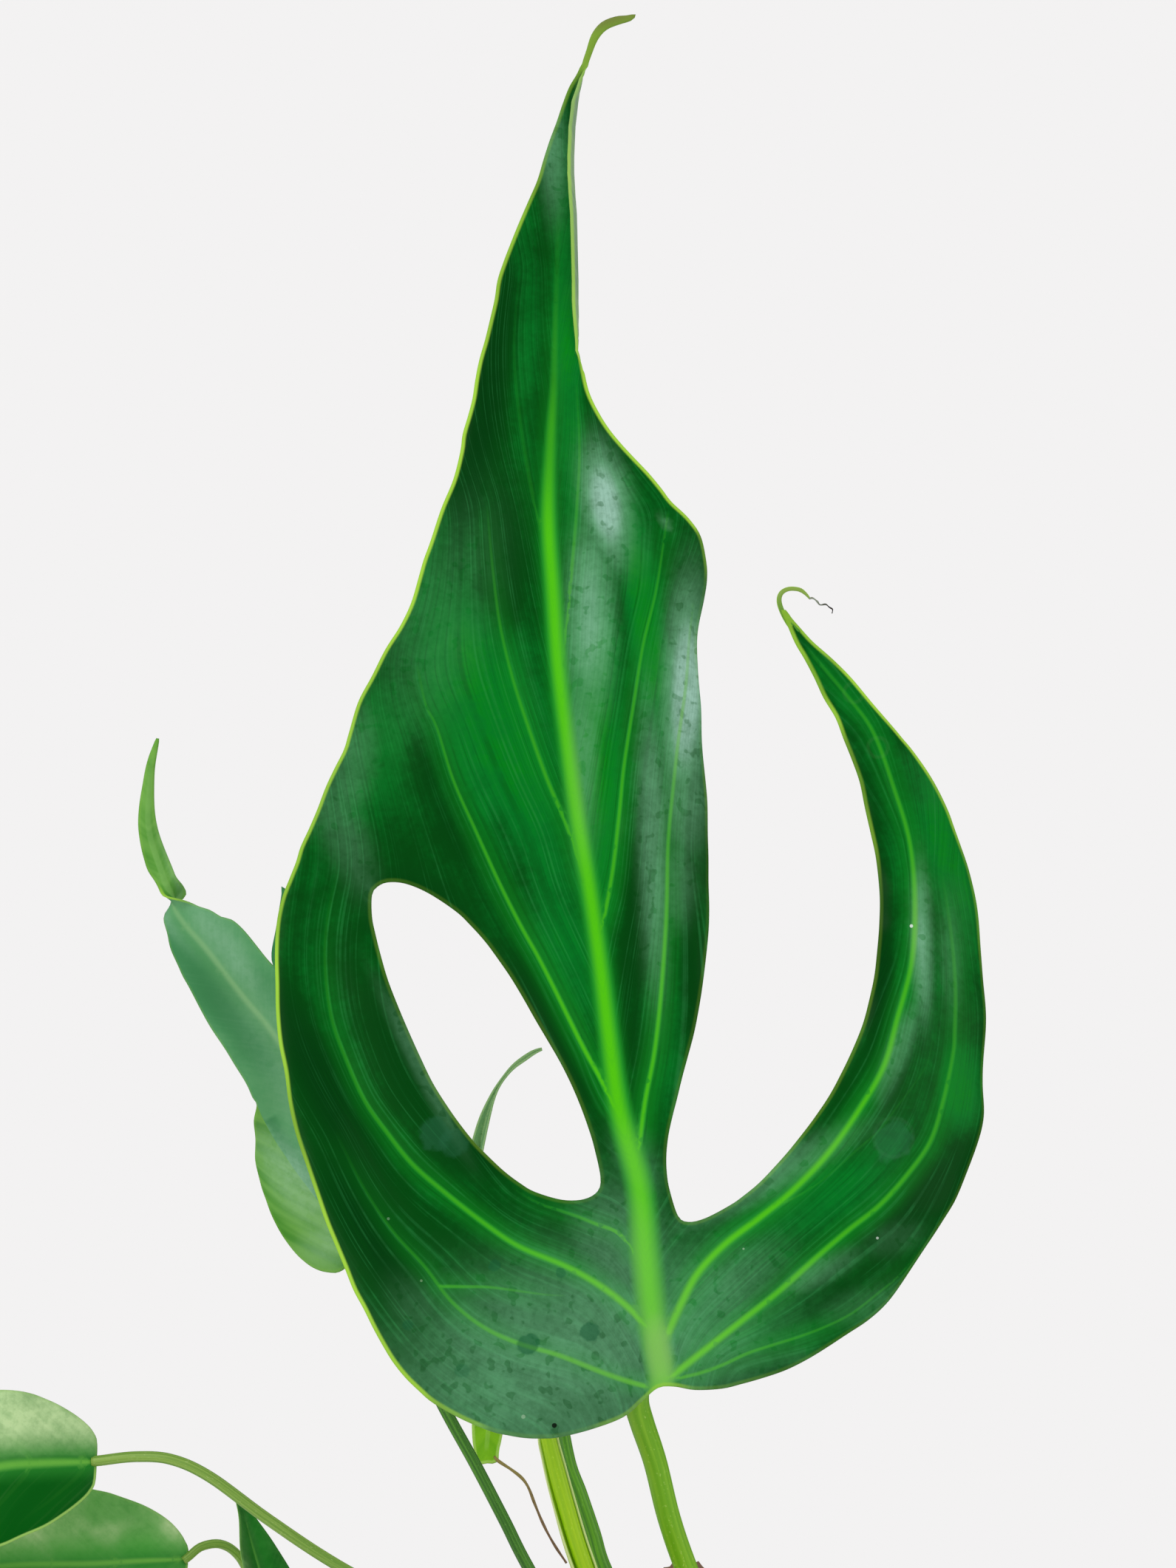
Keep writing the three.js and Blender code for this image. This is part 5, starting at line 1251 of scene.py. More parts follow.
class MONSTERA_OT_pot(bpy.types.Operator):
    """Makes the clay pot with its thick rim and drain holes"""

    bl_idname = "monstera.pot"
    bl_label = "Clay pot"
    bl_options = {"REGISTER", "UNDO"}

    def execute(self, context):
        settings = context.scene.monstera_pot
        sides = settings.sides
        foot, rim, top = POT_FOOT_RADIUS, POT_RIM_RADIUS, POT_HEIGHT
        corners = [
            (foot - FOOT_ROUNDING, 0), (foot - 0.7, 0.5), (foot, FOOT_ROUNDING), (SHOULDER_RADIUS, SHOULDER),
            (SHOULDER_RADIUS + 0.4, SHOULDER + 0.5), (SHOULDER_RADIUS + 2.5, SHOULDER + 1),
            (rim - 1.5, SHOULDER + 4), (rim, top - 3), (rim - 0.4, top - 1), (rim - 1.5, top), (rim - 5, top),
            (rim - 6.2, top - 0.6), (rim - 6.5, top - 2), (SHOULDER_RADIUS - POT_WALL, SHOULDER),
            (foot - POT_WALL, POT_FLOOR),
        ]
        profile = []
        for (r0, z0), (r1, z1) in zip(corners, corners[1:]):
            parts = max(1, round(math.hypot(r1 - r0, z1 - z0) / 1.1))
            profile += [(r0 + (r1 - r0) * i / parts, z0 + (z1 - z0) * i / parts) for i in range(parts)]
        profile.append(corners[-1])

        def wobble(radius, height, angle):
            """Faint rings from the turning, everywhere but on the foot and the rim's top."""
            inside = (height > 0.6) & (height < top - 0.6)
            rings = 0.05 * np.sin(height * 2.3) + 0.04 * np.sin(height * 0.9 + 1)
            return inside * (rings * (1 + 0.3 * np.sin(3 * angle)) - 0.06)

        heap = Heap()
        heap.add(*lathe(profile, sides, wobble))
        holes = []
        for i in range(DRAIN_HOLES):
            at = (i + 0.25) / DRAIN_HOLES * 2 * math.pi
            holes.append(np.array([math.cos(at), math.sin(at)]) * DRAIN_RING + DRAIN_RADIUS * circle(HOLE_SIDES))
        for radius, height, upward in ((foot - FOOT_ROUNDING, 0, False), (foot - POT_WALL, POT_FLOOR, True)):
            flat, faces = flat_mesh([circle(sides) * radius, *holes], [], 6)
            heap.add(self.level(flat, height), faces if upward else faces[:, ::-1])
        following = [(j + 1) % HOLE_SIDES for j in range(HOLE_SIDES)]
        walls = [(j, HOLE_SIDES + j, HOLE_SIDES + k, k) for j, k in enumerate(following)]
        for hole in holes:
            heap.add(np.concatenate([self.level(hole, 0), self.level(hole, POT_FLOOR)]), walls)
        heap.piece("clay_pot", self.clay(settings), "clay", "pot")
        return {"FINISHED"}

    def level(self, flat, height):
        return np.column_stack([flat, np.full(len(flat), float(height))])

    def clay(self, settings):
        """Unglazed clay: clouded, gritty, darker near its foot, with a pale bloom below the rim."""
        f = Finish("clay", specular=0.2)
        place = f.place()
        cloud, grain = f.noise(place, 22.0, 4.0), f.noise(place, 420.0, 4.0, 0.7)
        parts = f.nodes.new("ShaderNodeSeparateXYZ")
        f.put(place, parts.inputs[0])
        height = parts.outputs[2]
        base = f.mix(f.span(cloud, 0.35, 0.65), settings.clay, "a2573a")
        base = f.mix(f.span(grain, 0.55, 0.75, 0.0, 0.5), base, "cf8c68")
        patches = f.span(f.noise(place, 30.0, 3.0), 0.4, 0.6, 0.2, 0.8)
        damp = f.times(f.span(height, 0.07, 0.0), patches)
        base = f.mix(damp, base, "8a4a33")
        bloom = f.span(f.noise(place, 48.0, 5.0, 0.7), 0.56, 0.72, 0.0, 0.6)
        band = f.times(f.span(height, 0.02, 0.05), f.span(height, 0.1, 0.085))
        base = f.mix(f.times(bloom, band), base, "dcc8b4")
        lines = f.nodes.new("ShaderNodeTexWave")
        lines.bands_direction = "Z"
        f.put(place, lines.inputs["Vector"])
        lines.inputs["Scale"].default_value = 260.0
        lines.inputs["Distortion"].default_value = 1.2
        relief = f.plus(f.times(grain, 0.7), f.times(lines.outputs[1], 0.25))
        return f.finish(base, f.span(cloud, 0.3, 0.7, 0.78, 0.92), relief, 0.5, 0.25)


class MONSTERA_OT_potting_mix(bpy.types.Operator):
    """Fills the pot with bark chips, perlite grains and the damp mix between them"""

    bl_idname = "monstera.potting_mix"
    bl_label = "Potting mix"
    bl_options = {"REGISTER", "UNDO"}

    def execute(self, context):
        settings = context.scene.monstera_pot
        rng = np.random.default_rng(20)
        wide = SHOULDER_RADIUS - POT_WALL - MIX_CLEARANCE
        narrow = POT_FOOT_RADIUS - POT_WALL - MIX_CLEARANCE
        side = [(narrow, POT_FLOOR + 0.3), (wide, SHOULDER), (wide + 1, MIX_TOP - 3)]
        top = [(r, MIX_TOP - 2.5 + 2.5 * math.cos(r / wide * 1.4)) for r in np.linspace(wide, 0.05, 34)]

        def rough(radius, height, angle):
            """The uneven top of the mix."""
            return (height > MIX_TOP - 4) * 0.35 * np.sin(7 * angle + radius) * np.cos(radius * 1.7)

        heap = Heap()
        places, faces = lathe([(0.05, POT_FLOOR + 0.3), *side, *top], 96, rough)
        high = places[:, 2] > MIX_TOP - 2.8
        places[high, 2] += rng.normal(0, 0.45, high.sum())
        heap.add(places, faces, tone=0.1, perlite=0.0)
        for i in range(settings.chips):
            pale = i % PERLITE_EVERY == PERLITE_EVERY // 2
            spread = CHIP_REACH * math.sqrt((i + 0.5) / settings.chips)
            at = i * GOLDEN_ANGLE + rng.normal(0, 0.2)
            size = rng.uniform(*CHIP_SIZES)
            if pale:
                size[:] = rng.uniform(*PERLITE_SIZES)
            spread = min(spread, CHIP_REACH - 0.5 * size[0])
            rise = MIX_TOP + 0.6 + rng.uniform(-1, 2.4) - 2 * (spread / CHIP_REACH) ** 2
            self.chip(heap, rng, (spread * math.cos(at), spread * math.sin(at), rise), size, pale)
        heap.piece("bark_mix", self.bark(settings), "bark_mix", "potting_mix")
        return {"FINISHED"}

    def chip(self, heap, rng, centre, size, pale):
        """A worn block of bark, or a rounder grain of perlite, bent a little and lying askew."""
        rows, sides = 8, 12
        tilt = np.linspace(-math.pi / 2, math.pi / 2, rows + 1)[:, None]
        angle = turns(sides)[None]
        blunt = 0.9 if pale else 0.45

        def square(value):
            return np.sign(value) * np.abs(value) ** blunt

        shape = np.stack([
            square(np.cos(tilt)) * square(np.cos(angle)), square(np.cos(tilt)) * square(np.sin(angle)),
            square(np.sin(tilt)) * np.ones_like(angle)], axis=-1).reshape(-1, 3)
        shape *= 1 + rng.normal(0, 0.07, (len(shape), 1))
        shape[:sides] = shape[:sides].mean(axis=0)
        shape[-sides:] = shape[-sides:].mean(axis=0)
        shape[:, 1] *= 1 + 0.25 * shape[:, 0] * rng.uniform(-1, 1)
        shape[:, 2] += 0.25 * shape[:, 0] ** 2 * rng.uniform(-1, 1)
        turn = Euler((rng.normal(0, 0.35), rng.normal(0, 0.35), rng.uniform(0, 2 * math.pi))).to_matrix()
        places = (shape * size) @ np.array(turn).T + centre
        heap.add(places, band_faces(rows, sides), tone=rng.uniform(0.1, 1), perlite=float(pale))

    def bark(self, settings):
        """Fibrous bark from dark to worn brown, and white perlite."""
        f = Finish("bark_mix", specular=0.2)
        tone, place = f.read("tone"), f.place()
        grain, fibre = f.noise(place, 700.0, 4.0, 0.7), f.noise(place, 210.0, 3.0)
        base = f.mix(tone, "2b1c14", "7a5236")
        worn = f.plus(tone, f.times(fibre, 0.4))
        base = f.mix(f.span(worn, 0.95, 1.3, 0.0, 0.7), base, "9a7350")
        base = f.mix(f.span(fibre, 0.4, 0.65, 0.0, 0.5), base, settings.bark)
        base = f.mix(f.span(grain, 0.6, 0.75, 0.0, 0.35), base, "a88a6a")
        base = f.mix(f.read("perlite"), base, "e4e1d8")
        return f.finish(base, 0.88, f.plus(grain, fibre), 0.6, 0.4)


class MONSTERA_OT_stem(bpy.types.Operator):
    """Makes the climbing stem with its leaf scars and aerial roots"""

    bl_idname = "monstera.stem"
    bl_label = "Stem and roots"
    bl_options = {"REGISTER", "UNDO"}

    def execute(self, context):
        heap = Heap()
        stations = np.array(STEM, float)
        course = Course(stations[:, :3])

        def radius_at(t):
            height = course.at(t * course.length)[:, 2]
            scars = sum(
                SCAR_RIDGE * np.exp(-(((height - scar) / SCAR_WIDTH) ** 2))
                - SCAR_GROOVE * np.exp(-(((height - scar - SCAR_STEP) / SCAR_WIDTH) ** 2)) for scar in STEM_SCARS)
            return part_way(stations[:, 3], t) + scars

        places, faces, values = tube(stations[:, :3], radius_at, 48, 0.6, STALK_RIDGES, 5)
        heap.add(places, faces, root=0.0, **values)
        for number, root in enumerate(ROOTS):
            line = np.array(root, float)

            def knobbly(t, line=line, number=number):
                return part_way(line[:, 3], t) * (1 + 0.07 * np.sin(t * 37 + number) + 0.05 * np.sin(t * 83))

            places, faces, values = tube(line[:, :3], knobbly, 20, 0.7)
            heap.add(places, faces, root=1.0, **values)
        heap.piece("climbing_stem", self.skin(), "stem", "stem")
        return {"FINISHED"}

    def skin(self):
        """Bark-brown below and green above, with duller roots."""
        f = Finish("stem_skin", specular=0.3)
        lines = f.lines_on_tube(4.0, 0.12, 4.0)
        patch = f.noise(f.place(), 150.0, 3.0)
        base = f.mix(f.span(f.read("portion"), 0.45, 0.95), "7b6a42", "6c8a34")
        base = f.mix(f.span(lines, 0.4, 0.62, 0.0, 0.6), base, "5a4a2c")
        base = f.mix(f.span(patch, 0.55, 0.7, 0.0, 0.5), base, "a08c60")
        base = f.mix(f.read("root"), base, "7a5634")
        base = f.mix(f.times(f.read("root"), f.span(lines, 0.42, 0.6)), base, "5b3d24")
        return f.finish(base, 0.66, f.plus(lines, f.times(patch, 0.5)), 0.5, 0.3)


def even_outline(widths, step=MARGIN_STEP):
    """A leaf outline from half-widths, alike on both sides."""
    left = [(-half, along) for along, half in widths]
    return trace([*left, *[(half, along) for along, half in widths[::-1]]], step)


def stalk_piece(name, node, slot, finish, path, foot, middle, head, sides=28):
    """A leaf's stalk, wide at its foot, with a slight joint under the blade."""
    def radius_at(t):
        base = foot + (middle - foot) * ramp([(0, 0), (0.3, 1)], t)
        return base + (head - middle) * ramp([(0.75, 0), (1, 1)], t)

    line = seen(path)
    way = line[-1] - line[-2]
    line = np.concatenate([line, [line[-1] + way * (1.2 / np.linalg.norm(way))]])
    places, faces, values = tube(line, radius_at, sides, 0.7, STALK_RIDGES, 7)
    return new_piece(name, places, faces, values, finish, slot, node)


def swept_course(flat):
    """The course of a plain leaf's streaks: they leave the midrib and sweep to the tip."""
    across, along = flat.T
    return along - STREAK_SLOPE * np.abs(across), np.abs(across)


def leaf_relief(form, flat, edge, clear, groove):
    """How far a leaf's panels and grooves stand out, and its margin's waves."""
    rise, reach, soft, depth, height, up, across, fade = form
    panels = rise * (1 - np.exp(-((clear / reach) ** 2))) * edge / (edge + soft)
    waves = height * np.sin(flat[:, 1] * up + flat[:, 0] * across) * np.exp(-edge / fade)
    return panels - depth * groove, waves


def plain_veins(length, widths, count, midrib=(0.8, 1.0, 0.3), light=0.5):
    """A midrib, by half-width, brightness and fading, and pairs of side veins that sweep towards the tip."""
    lean = 1.15
    places, halves = np.array(widths, float).T
    veins = [vein([(0, s) for s in np.linspace(0, length * 0.97, 8)], *midrib)]
    for i in range(count):
        foot = length * (0.02 + 0.8 * i / count)
        width = np.interp(foot + lean * 6, places, halves)
        for side in (-1, 1):
            line = [(side * width * 0.96 * s, foot + lean * width * s**1.35) for s in np.linspace(0, 1, 7)]
            veins.append(vein(line, 0.35, light, 1.0))
    return veins


class MONSTERA_OT_flame_leaf(bpy.types.Operator):
    """Makes the large split leaf with its hole, bay and hooked horn, and its stalk"""

    bl_idname = "monstera.flame_leaf"
    bl_label = "Flame leaf"
    bl_options = {"REGISTER", "UNDO"}

    def execute(self, context):
        settings = context.scene.monstera_flame_leaf
        self.depth = thin_plate(FLAME_DEPTHS, DEPTH_SOFTNESS)
        midrib = np.array(FLAME_MIDRIB)
        self.midrib_at = lambda up: np.interp(up, midrib[:, 1], midrib[:, 0])
        self.edge = np.array([
            (up, across) for across, up in FLAME_MARGIN
            if ROLL_EDGE[0] < up < ROLL_EDGE[1] and across > self.midrib_at(up)][::-1])
        outline = trace(FLAME_MARGIN, MARGIN_STEP)
        right = outline[:, 0] > self.midrib_at(outline[:, 1])
        outline[:, 0] += right * self.roll(outline[:, 1]) * (ROLL_TURN - 1)
        hole = trace(FLAME_HOLE, MARGIN_STEP)
        line = trace(midrib[:, :2], VEIN_STEP, closed=False)
        veins = [{
            "line": line, "half": np.interp(line[:, 1], midrib[:, 1], midrib[:, 2]),
            "light": ramp([(187, 1), (335, 0.95), (354, 0.6), (368, 0.34), (386, 0.14), (396, 0)], line[:, 1]),
        }]
        veins += [vein(points, *look) for _, *look, points in LEFT_VEINS + RIGHT_VEINS]
        veins.append(vein(VEIN_BRANCH[3], *VEIN_BRANCH[:3]))
        skin = leaf_finish(
            "flame_leaf_skin", BLEMISHES, deep=settings.deep, fresh=settings.fresh, lush="008a10", shade="00300c",
            halo="0c9020", ray="28984a", wax=settings.wax, thin_wax="7abc90", haze="a4d07c", vein=settings.midrib,
            vein_body="28a42c", margin=settings.margin, under="7c9c7c", under_fresh="93b183", under_vein="a6c878",
            specular=0.06, fine=0.2, dim_ray=0.38, scratch=0.025, line=0.7)
        blade_piece(
            "flame_blade", "blade_flame", "flame_leaf", skin, [outline, hole], veins, self.courses(),
            self.place, (settings.spacing / MM, settings.thickness / MM), self.relief, self.marks, self.roll_lines())
        self.horn()
        stalk = stalk_finish("flame_stalk_skin", "8cc820", "74b80e", "bce068", "8a9a4c")
        stalk_piece("flame_stalk", "petiole_flame", "stalk", stalk, FLAME_STALK, 3.4, 1.95, 2.1, 36)
        return {"FINISHED"}

    def roll(self, up):
        """The radius of the margin's roll at the right of the tip."""
        return ROLL_RADIUS * ramp(ROLL_STOPS, up)

    def roll_lines(self):
        """Lines along the roll, so that it bends evenly."""
        up = np.arange(366, 420, 0.5)
        fold = np.interp(up, *self.edge.T) - self.roll(up)
        return [np.stack([fold + self.roll(up) * turn, up], axis=1) for turn in np.arange(-0.4, 2.9, 0.36)]

    def place(self, flat):
        """Where a point of the flat outline comes to stand: on the plate, or forward of it in the roll."""
        across, up = flat.T
        radius = self.roll(up)
        fold = np.interp(up, *self.edge.T) - radius
        rolled = (across > fold) & (radius > LEAST_ROLL) & (across > self.midrib_at(up))
        turn = np.where(rolled, (across - fold) / np.maximum(radius, LEAST_ROLL), 0)
        moved = np.where(rolled, fold + radius * np.sin(turn), across)
        forward = np.where(rolled, radius * (1 - np.cos(turn)), 0)
        depth = self.depth(np.stack([moved, up], axis=1)) - forward
        return seen(np.stack([moved, up, depth], axis=1))

    def courses(self):
        """The course of the streaks on each side: they keep to the side veins between which they lie."""
        fields = []
        for side_veins in (LEFT_VEINS, RIGHT_VEINS):
            spots = [(x, y, y) for x, y, _ in FLAME_MIDRIB]
            for height, *_, points in side_veins:
                if height:
                    spots += [(x, y, height) for x, y in trace(points, 5, closed=False)[2:]]
            fields.append(thin_plate(spots, STREAK_SOFTNESS))

        def course_of(flat):
            side = flat[:, 0] - self.midrib_at(flat[:, 1])
            return np.where(side < 0, fields[0](flat), fields[1](flat)), np.abs(side)

        return course_of

    def relief(self, flat, edge, clear, groove):
        """The skin's relief, with no waves where the margin is rolled."""
        skin, waves = leaf_relief(FLAME_RELIEF, flat, edge, clear, groove)
        return skin + waves * (self.roll(flat[:, 1]) < 0.1)

    def marks(self, flat):
        """Where the skin has a painted sheen, painted shade and a fresher green partly from painted light, where its
        margin is bright and where it is withered.
        """
        across, up = flat.T
        return {
            "pale": cover(flat, PAINTED_SHEEN_PLACES), "dark": cover(flat, PAINTED_SHADE_PLACES), "fresh": cover(flat, FRESH_AND_LIT_PLACES),
            "rim": nearby(flat, MARGIN_BRIGHTNESS), "spent": ramp([(414, 0), (428, 1)], up - 0.3 * (across + 18)),
            "across": across, "up": up,
        }

    def horn(self):
        """The horn's hooked end and the withered thread on it."""
        def lift(line):
            tip = float(self.depth(np.array([HORN_HOOK[1]]))[0])
            return seen([(x, y, tip - 0.1) for x, y in line])

        f = Finish("horn_hook_skin", specular=0.3)
        base = f.mix(f.span(f.read("portion"), 0.0, 0.7), "4d9a2c", "8fb04a")
        base = f.mix(f.span(f.read("ring_x"), 0.5, 0.9), base, "a9d94a")
        hook = f.finish(base, 0.4, f.noise(f.place(), 500.0), 0.2, 0.05)
        shape = tube(
            lift(HORN_HOOK), lambda t: np.interp(t, [0, 0.3, 0.85, 1], [0.6, 0.5, 0.42, 0.2]), 14, 0.25, flatten=0.5)
        new_piece("horn_hook", *shape, hook, "flame_leaf")
        thread = tube(lift(HORN_THREAD), lambda t: 0.17 - 0.06 * t + 0.03 * np.sin(t * 25), 8, 0.15)
        new_piece("horn_thread", *thread, withered("horn_thread_skin", "9aa390", "26221e"), "flame_leaf")


def lesser_blade(name, node, slot, finish, outline, veins, place, settings, marks=None, creases=()):
    """One of the six lesser blades."""
    return blade_piece(
        name, node, slot, finish, [outline], veins, swept_course, place,
        (settings.spacing / MM, settings.thickness / MM), lambda *at: sum(leaf_relief(LESSER_RELIEF, *at)), marks,
        creases)


class MONSTERA_OT_twisted_leaf(bpy.types.Operator):
    """Makes the leaf behind the flame leaf, whose tip turns over, and the two dark stalks"""

    bl_idname = "monstera.twisted_leaf"
    bl_label = "Twisted leaf"
    bl_options = {"REGISTER", "UNDO"}

    def execute(self, context):
        settings = context.scene.monstera_lesser_leaves
        place, length = around_spine(
            TWISTED_SPINE, (-0.25, -1, 0.2), twist=[(61, 0), (69, -math.pi * 0.95)],
            fold=[(0, 0.2), (40, 0.28), (60, 0.1)], curl=([(0, -0.03), (12, -0.05), (30, 0.01), (66, 0.02)], 0))
        skin = leaf_finish(
            "twisted_leaf_skin", deep="54a066", fresh="6cae76", shade="1c6c38", halo="63a968", wax="94c4a2",
            vein="9ccc8c", vein_body="78b478", margin="a4d84c", under="4e9632", under_fresh="76b450",
            under_vein="88c068", under_wax="a2d0a0", specular=0.08, rough=0.45, blotch=0.8, scratch=0.02, line=0.3)
        veins = plain_veins(length, [(0, 18), (50, 12), (97, 1)], 7, (1.0, 0.85, 0.4), 0.0)
        crease = trace(TWISTED_CREASE, 0.5, closed=False)

        def marks(flat):
            """The part beyond the crease shows its underside. The ear at the right, a strip beside the crease and
            the upper left carry painted shade, and the pale places a painted sheen.
            """
            across, along = flat.T
            beyond = across - np.interp(along, crease[:, 1], crease[:, 0])
            turned = np.minimum(0.5 - beyond / 0.6, 0.5 + (23.2 - along) / 0.6)
            ear = ramp([(8.8, 0), (10, 1)], across) * (along > 39)
            # A painted shadow along the crease, on the turned part beyond it.
            beside = np.exp(-((beyond - 1.2) ** 2) / 3) * (along < 18) * (beyond > 0)
            tip = ramp([(60, 0), (64, 1)], along)
            upper_left = cover(flat, [(-4.6, 46, 3.4, 20, 0, 0.75), (6, 30, 3, 14, 0, 0.3)])
            fold = np.exp(-(((along - 65) / 2.6) ** 2)) * (across > 0)
            return {
                "turned": turned, "dark": np.maximum.reduce([ear, beside * 0.6, upper_left]),
                "fresh": 0.35 + 0.3 * tip, "rim": (1 - ear) * (0.14 + 0.9 * fold),
                "pale": cover(flat, [
                    (1, 24, 7, 20, 0, 0.35), (3.4, 50, 3.2, 12, 0, 0.5), (-9, 4, 5, 12, 0.3, 0.75),
                    (-6, -9, 7, 5, 0, 0.6), (-2.6, 72, 1.3, 16, 0, 0.5)]),
            }

        lesser_blade(
            "twisted_blade", "blade_twisted", "back_leaf", skin, trace(TWISTED_OUTLINE, MARGIN_STEP), veins, place,
            settings, marks, [crease, crease - (0.4, 0)])
        stalk = stalk_finish("dark_stalk_skin", "5c9c34", "3c7428", "78aa50", "8ab048")
        stalk_piece("twisted_stalk", "petiole_twisted", "dark_stalk", stalk, TWISTED_STALK, 2.4, 1.1, 1.15)
        stalk = stalk_finish("hanging_stalk_skin", "6cb02c", "4a8a26", "8cc458", "94c23c")
        stalk_piece("hanging_stalk", "petiole_hanging", "dark_stalk", stalk, HANGING_STALK, 2.2, 1.35, 1.35)
        return {"FINISHED"}


class MONSTERA_OT_young_leaf(bpy.types.Operator):
    """Makes the newest, still narrow leaf, and its bright sheathed stalk"""

    bl_idname = "monstera.young_leaf"
    bl_label = "Young leaf"
    bl_options = {"REGISTER", "UNDO"}

    def execute(self, context):
        settings = context.scene.monstera_lesser_leaves
        place, length = around_spine(YOUNG_SPINE, (-0.6, -1, 0), fold=0.75, curl=(0.03, 0.03))
        skin = leaf_finish(
            "young_leaf_skin", deep="4c8c54", fresh="74ac72", shade="2c6434", halo="8aba7c", wax="b0d0b4",
            vein="a0c888", margin="a0c888", under="86b07c", under_fresh="9cc48f", under_vein="b0d29a",
            specular=0.08, rough=0.4, line=0.3)
        veins = plain_veins(length, [(0, 5), (20, 7), (62, 0.5)], 7, (0.5, 1.0, 0.3), 0.15)
        outline = even_outline(YOUNG_WIDTHS)
        lesser_blade("young_blade", "blade_young", "young_leaf", skin, outline, veins, place, settings)
        stalk = stalk_finish("sheathed_stalk_skin", "b8e41c", "a4d814", "d0f450", "bccc6a")
        stalk_piece("young_stalk", "petiole_young", "bright_sheath", stalk, YOUNG_STALK, 2.8, 1.5, 1.1)
        self.wing(settings)
        return {"FINISHED"}

    def wing(self, settings):
        """The sheath that wraps the stalk's left side and ends in a free tip; its right flank has a painted
        highlight.
        """
        round_stalk, length = around_spine(YOUNG_STALK[1:], (0, -1, 0), fold=0.1, curl=(0.45, 0.45))
        top = length - 7
        outline = trace([
            (-4, 1), (-4.6, 12), (-4.6, 24), (-3.6, top - 12), (-2.6, top - 4), (-2.3, top - 0.6), (-1.4, top + 1),
            (0, top + 1.6), (1, top + 2.4), (1.8, top + 2.6), (2, top - 2), (2.4, top - 10), (2.9, 22), (3.2, 10),
            (3, 1)], 0.6)
        skin = leaf_finish(
            "bright_sheath_skin", deep="b8e41c", fresh="ccf030", shade="8cc01c", halo="aede28", wax="e6f2b8",
            vein="c6ee48", margin="e4f4a4", under="a4d424", under_fresh="b8e434", under_vein="c4ec50", line=0.5)
        lines = [vein([(x, 2), (x * 0.9, top * 0.5), (x * 0.7, top - 3)], 0.25, 0.4, 0.2) for x in (-3, -1.4, 0)]
        # A painted highlight: the bright line along the sheath's right flank, drawn as a vein at full brightness.
        lines.append(vein([(1.9, 2), (1.6, top * 0.5), (1.1, top)], 0.3, 1.0, 0.1))
        blade_piece(
            "young_sheath", None, "bright_sheath", skin, [outline], lines, lambda flat: (flat[:, 0] * 6, flat[:, 1]),
            lambda flat: round_stalk(flat) + (0, 1.4, 0), (0.6, settings.thickness / MM))


class MONSTERA_OT_hanging_leaf(bpy.types.Operator):
    """Makes the leaf that hangs behind the flame leaf, with the thread at its tip"""

    bl_idname = "monstera.hanging_leaf"
    bl_label = "Hanging leaf"
    bl_options = {"REGISTER", "UNDO"}

    def execute(self, context):
        settings = context.scene.monstera_lesser_leaves
        place, length = around_spine(HANGING_SPINE, (0, 0.75, 0.65), fold=0.2, curl=(-0.012, -0.012))
        skin = leaf_finish(
            "hanging_leaf_skin", deep="2c7a3c", fresh="3f9148", shade="1e5c30", halo="63a957", wax="86ad92",
            vein="7cbf4c", margin="a8d65c", under="72b41c", under_fresh="86c422", under_vein="a6d862", specular=0.1,
            rough=0.42, line=0.3)
        veins = plain_veins(length, [(0, 15), (30, 12), (68, 2)], 6)
        outline = trace(HANGING_OUTLINE, 0.9)
        lesser_blade("hanging_blade", "blade_hanging", "underside", skin, outline, veins, place, settings)
        thread = tube(seen(HANGING_THREAD), lambda t: 0.32 - 0.08 * t + 0.03 * np.sin(t * 31), 10, 0.3)
        new_piece("hanging_thread", *thread, withered("hanging_thread_skin", "9a8a52", "8a6f55"), "underside")
        return {"FINISHED"}


class MONSTERA_OT_juvenile_leaves(bpy.types.Operator):
    """Makes the three small round leaves at the left and their arching stalks"""

    bl_idname = "monstera.juvenile_leaves"
    bl_label = "Juvenile leaves"
    bl_options = {"REGISTER", "UNDO"}

    def execute(self, context):
        settings = context.scene.monstera_lesser_leaves
        skin = leaf_finish(
            "juvenile_leaf_skin", deep="006210", fresh=settings.juvenile, lush="4cae3e", shade="00540c",
            halo="2e9030", wax="c4e2a4", vein="6eba44", vein_body="4ea03a", margin="a4d46a",
            under=settings.underside, under_fresh="9ac66a", under_vein="b2d884", specular=0.1, rough=0.34,
            streak=0.15, blotch=1.0, scratch=0.015, mottle=0.25, line=0.4)
        stalk = stalk_finish("juvenile_stalk_skin", "92b850", "74a03c", "bcd488", "8a9a58")
        for name, spine, widths, face, fold, curl, rib, path, radii, pale, dark, fresh, bright in JUVENILE_LEAVES:
            place, length = around_spine(spine, face, fold=fold, curl=curl)
            veins = plain_veins(length, widths, 6, (rib, 1.0, 0.3), 0.1)
            veins[0]["half"] = veins[0]["half"] * np.linspace(0, 1, len(veins[0]["half"])) ** 0.25

            def marks(flat, pale=pale, dark=dark, fresh=fresh, bright=bright):
                """The half above the midrib is the fresher one, and the lower margin the brighter one. The pale
                values lay a painted sheen and the dark ones painted shade.
                """
                across = flat[:, 0]
                upper = ramp([(0.4, 0), (1.4, 1)], across)
                return {
                    "pale": (pale[0] + (pale[1] - pale[0]) * upper) * ramp([(1, 0.1), (6.5, 1)], np.abs(across)),
                    "dark": dark[0] + (dark[1] - dark[0]) * upper, "fresh": fresh + 0.45 * upper,
                    "rim": (0.2 + 0.8 * ramp([(-2, 1), (0, 0)], across)) * bright,
                }

            lesser_blade(
                f"{name}_blade", f"blade_{name}", "juvenile_leaf", skin, even_outline(widths), veins, place,
                settings, marks)
            stalk_piece(f"{name}_stalk", f"petiole_{name}", "stalk", stalk, path, *radii)
        return {"FINISHED"}


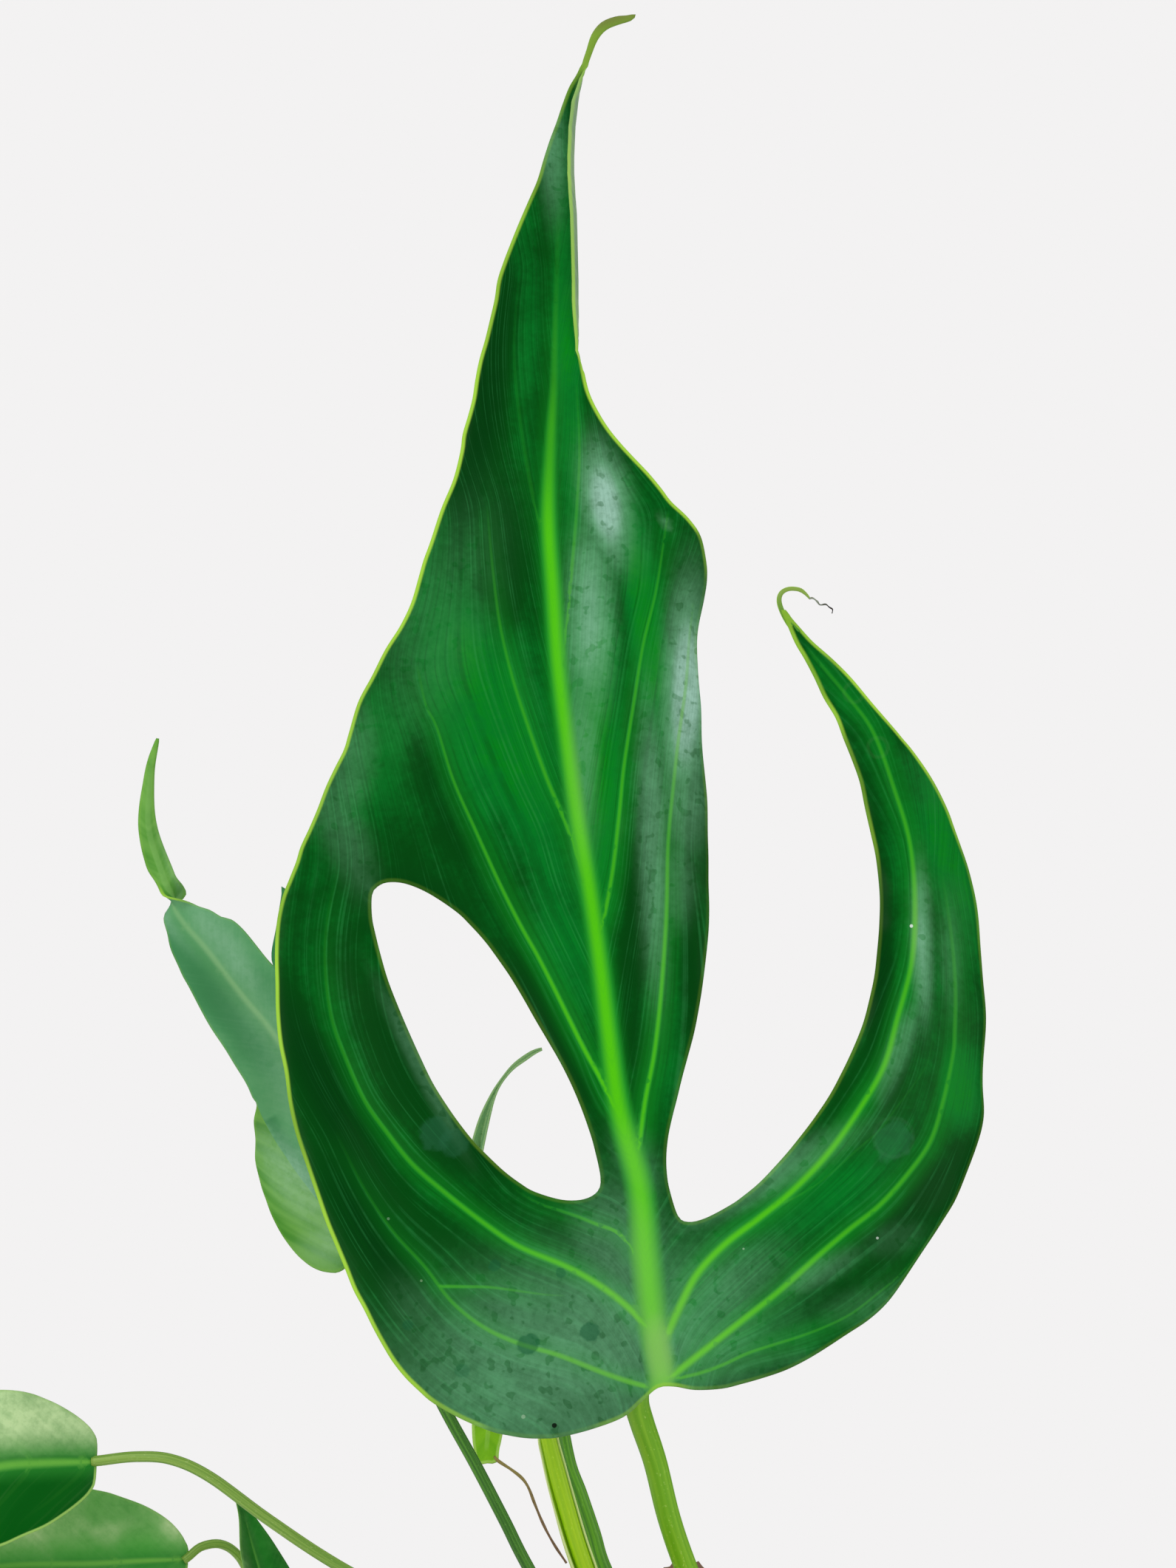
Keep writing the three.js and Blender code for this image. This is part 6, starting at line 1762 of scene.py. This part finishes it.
class MONSTERA_OT_dry_sheath(bpy.types.Operator):
    """Makes the papery sheath behind the stem's top"""

    bl_idname = "monstera.dry_sheath"
    bl_label = "Dry sheath"
    bl_options = {"REGISTER", "UNDO"}

    def execute(self, context):
        bend = [(0, 0.1), (20, 0.05), (37, 0.02)]
        place, _ = around_spine(DRY_SHEATH_SPINE, (0, -1, 0), fold=0.1, curl=(bend, bend))
        outline = even_outline(DRY_SHEATH_WIDTHS, 0.7)
        outline[:, 1] += 0.35 * np.sin(np.arange(len(outline)) * 1.9) * (outline[:, 1] > 26)
        lines = [vein([(x * 0.5, 2), (x, 18), (x * 0.8, 33)], 0.2, 0.5, 0.3) for x in (-7, -4.5, -2, 0, 2, 4.5, 7)]
        skin = leaf_finish(
            "dry_sheath_skin", deep="a4826a", fresh="b99b82", shade="7c5c46", halo="94725a", wax="c8b8a8",
            vein="8a6a52", margin="8d6f5a", under="a4866e", under_fresh="b6a08c", under_vein="8a6a52", rough=0.7)

        def crumple(flat, edge, clear, groove):
            """Soft wrinkles across the paper, and its lines."""
            return 0.25 * np.sin(flat[:, 1] * 0.7 + 2 * np.sin(flat[:, 0] * 0.5)) - 0.12 * groove

        blade_piece(
            "dry_sheath_paper", "dry_sheath", "papery_sheath", skin, [outline], lines,
            lambda flat: (flat[:, 0] * 5, flat[:, 1]), place, (0.9, 0.6), crumple)
        return {"FINISHED"}


class MONSTERA_PT_panel(bpy.types.Panel):
    """Lists the plant's pieces"""

    bl_idname = "MONSTERA_PT_panel"
    bl_label = "Potted flame monstera"
    bl_space_type = "VIEW_3D"
    bl_region_type = "UI"
    bl_category = "Monstera"

    def draw(self, context):
        for operator in OPERATORS:
            self.layout.operator(operator.bl_idname)


OPERATORS = (
    MONSTERA_OT_studio, MONSTERA_OT_pot, MONSTERA_OT_potting_mix, MONSTERA_OT_stem, MONSTERA_OT_dry_sheath,
    MONSTERA_OT_flame_leaf, MONSTERA_OT_twisted_leaf, MONSTERA_OT_young_leaf, MONSTERA_OT_hanging_leaf,
    MONSTERA_OT_juvenile_leaves,
)
SETTINGS = {
    "monstera_studio": StudioSettings, "monstera_flame_leaf": FlameLeafSettings,
    "monstera_lesser_leaves": LesserLeafSettings, "monstera_pot": PotSettings,
}


def register():
    for cls in (*SETTINGS.values(), *OPERATORS, MONSTERA_PT_panel):
        bpy.utils.register_class(cls)
    for name, cls in SETTINGS.items():
        setattr(bpy.types.Scene, name, bpy.props.PointerProperty(type=cls))


def unregister():
    for name in SETTINGS:
        delattr(bpy.types.Scene, name)
    for cls in (MONSTERA_PT_panel, *reversed(OPERATORS), *SETTINGS.values()):
        bpy.utils.unregister_class(cls)


def main():
    register()
    bpy.ops.monstera.studio()
    bpy.ops.monstera.pot()
    bpy.ops.monstera.potting_mix()
    bpy.ops.monstera.stem()
    bpy.ops.monstera.dry_sheath()
    bpy.ops.monstera.flame_leaf()
    bpy.ops.monstera.twisted_leaf()
    bpy.ops.monstera.young_leaf()
    bpy.ops.monstera.hanging_leaf()
    bpy.ops.monstera.juvenile_leaves()


if __name__ == "__main__":
    main()
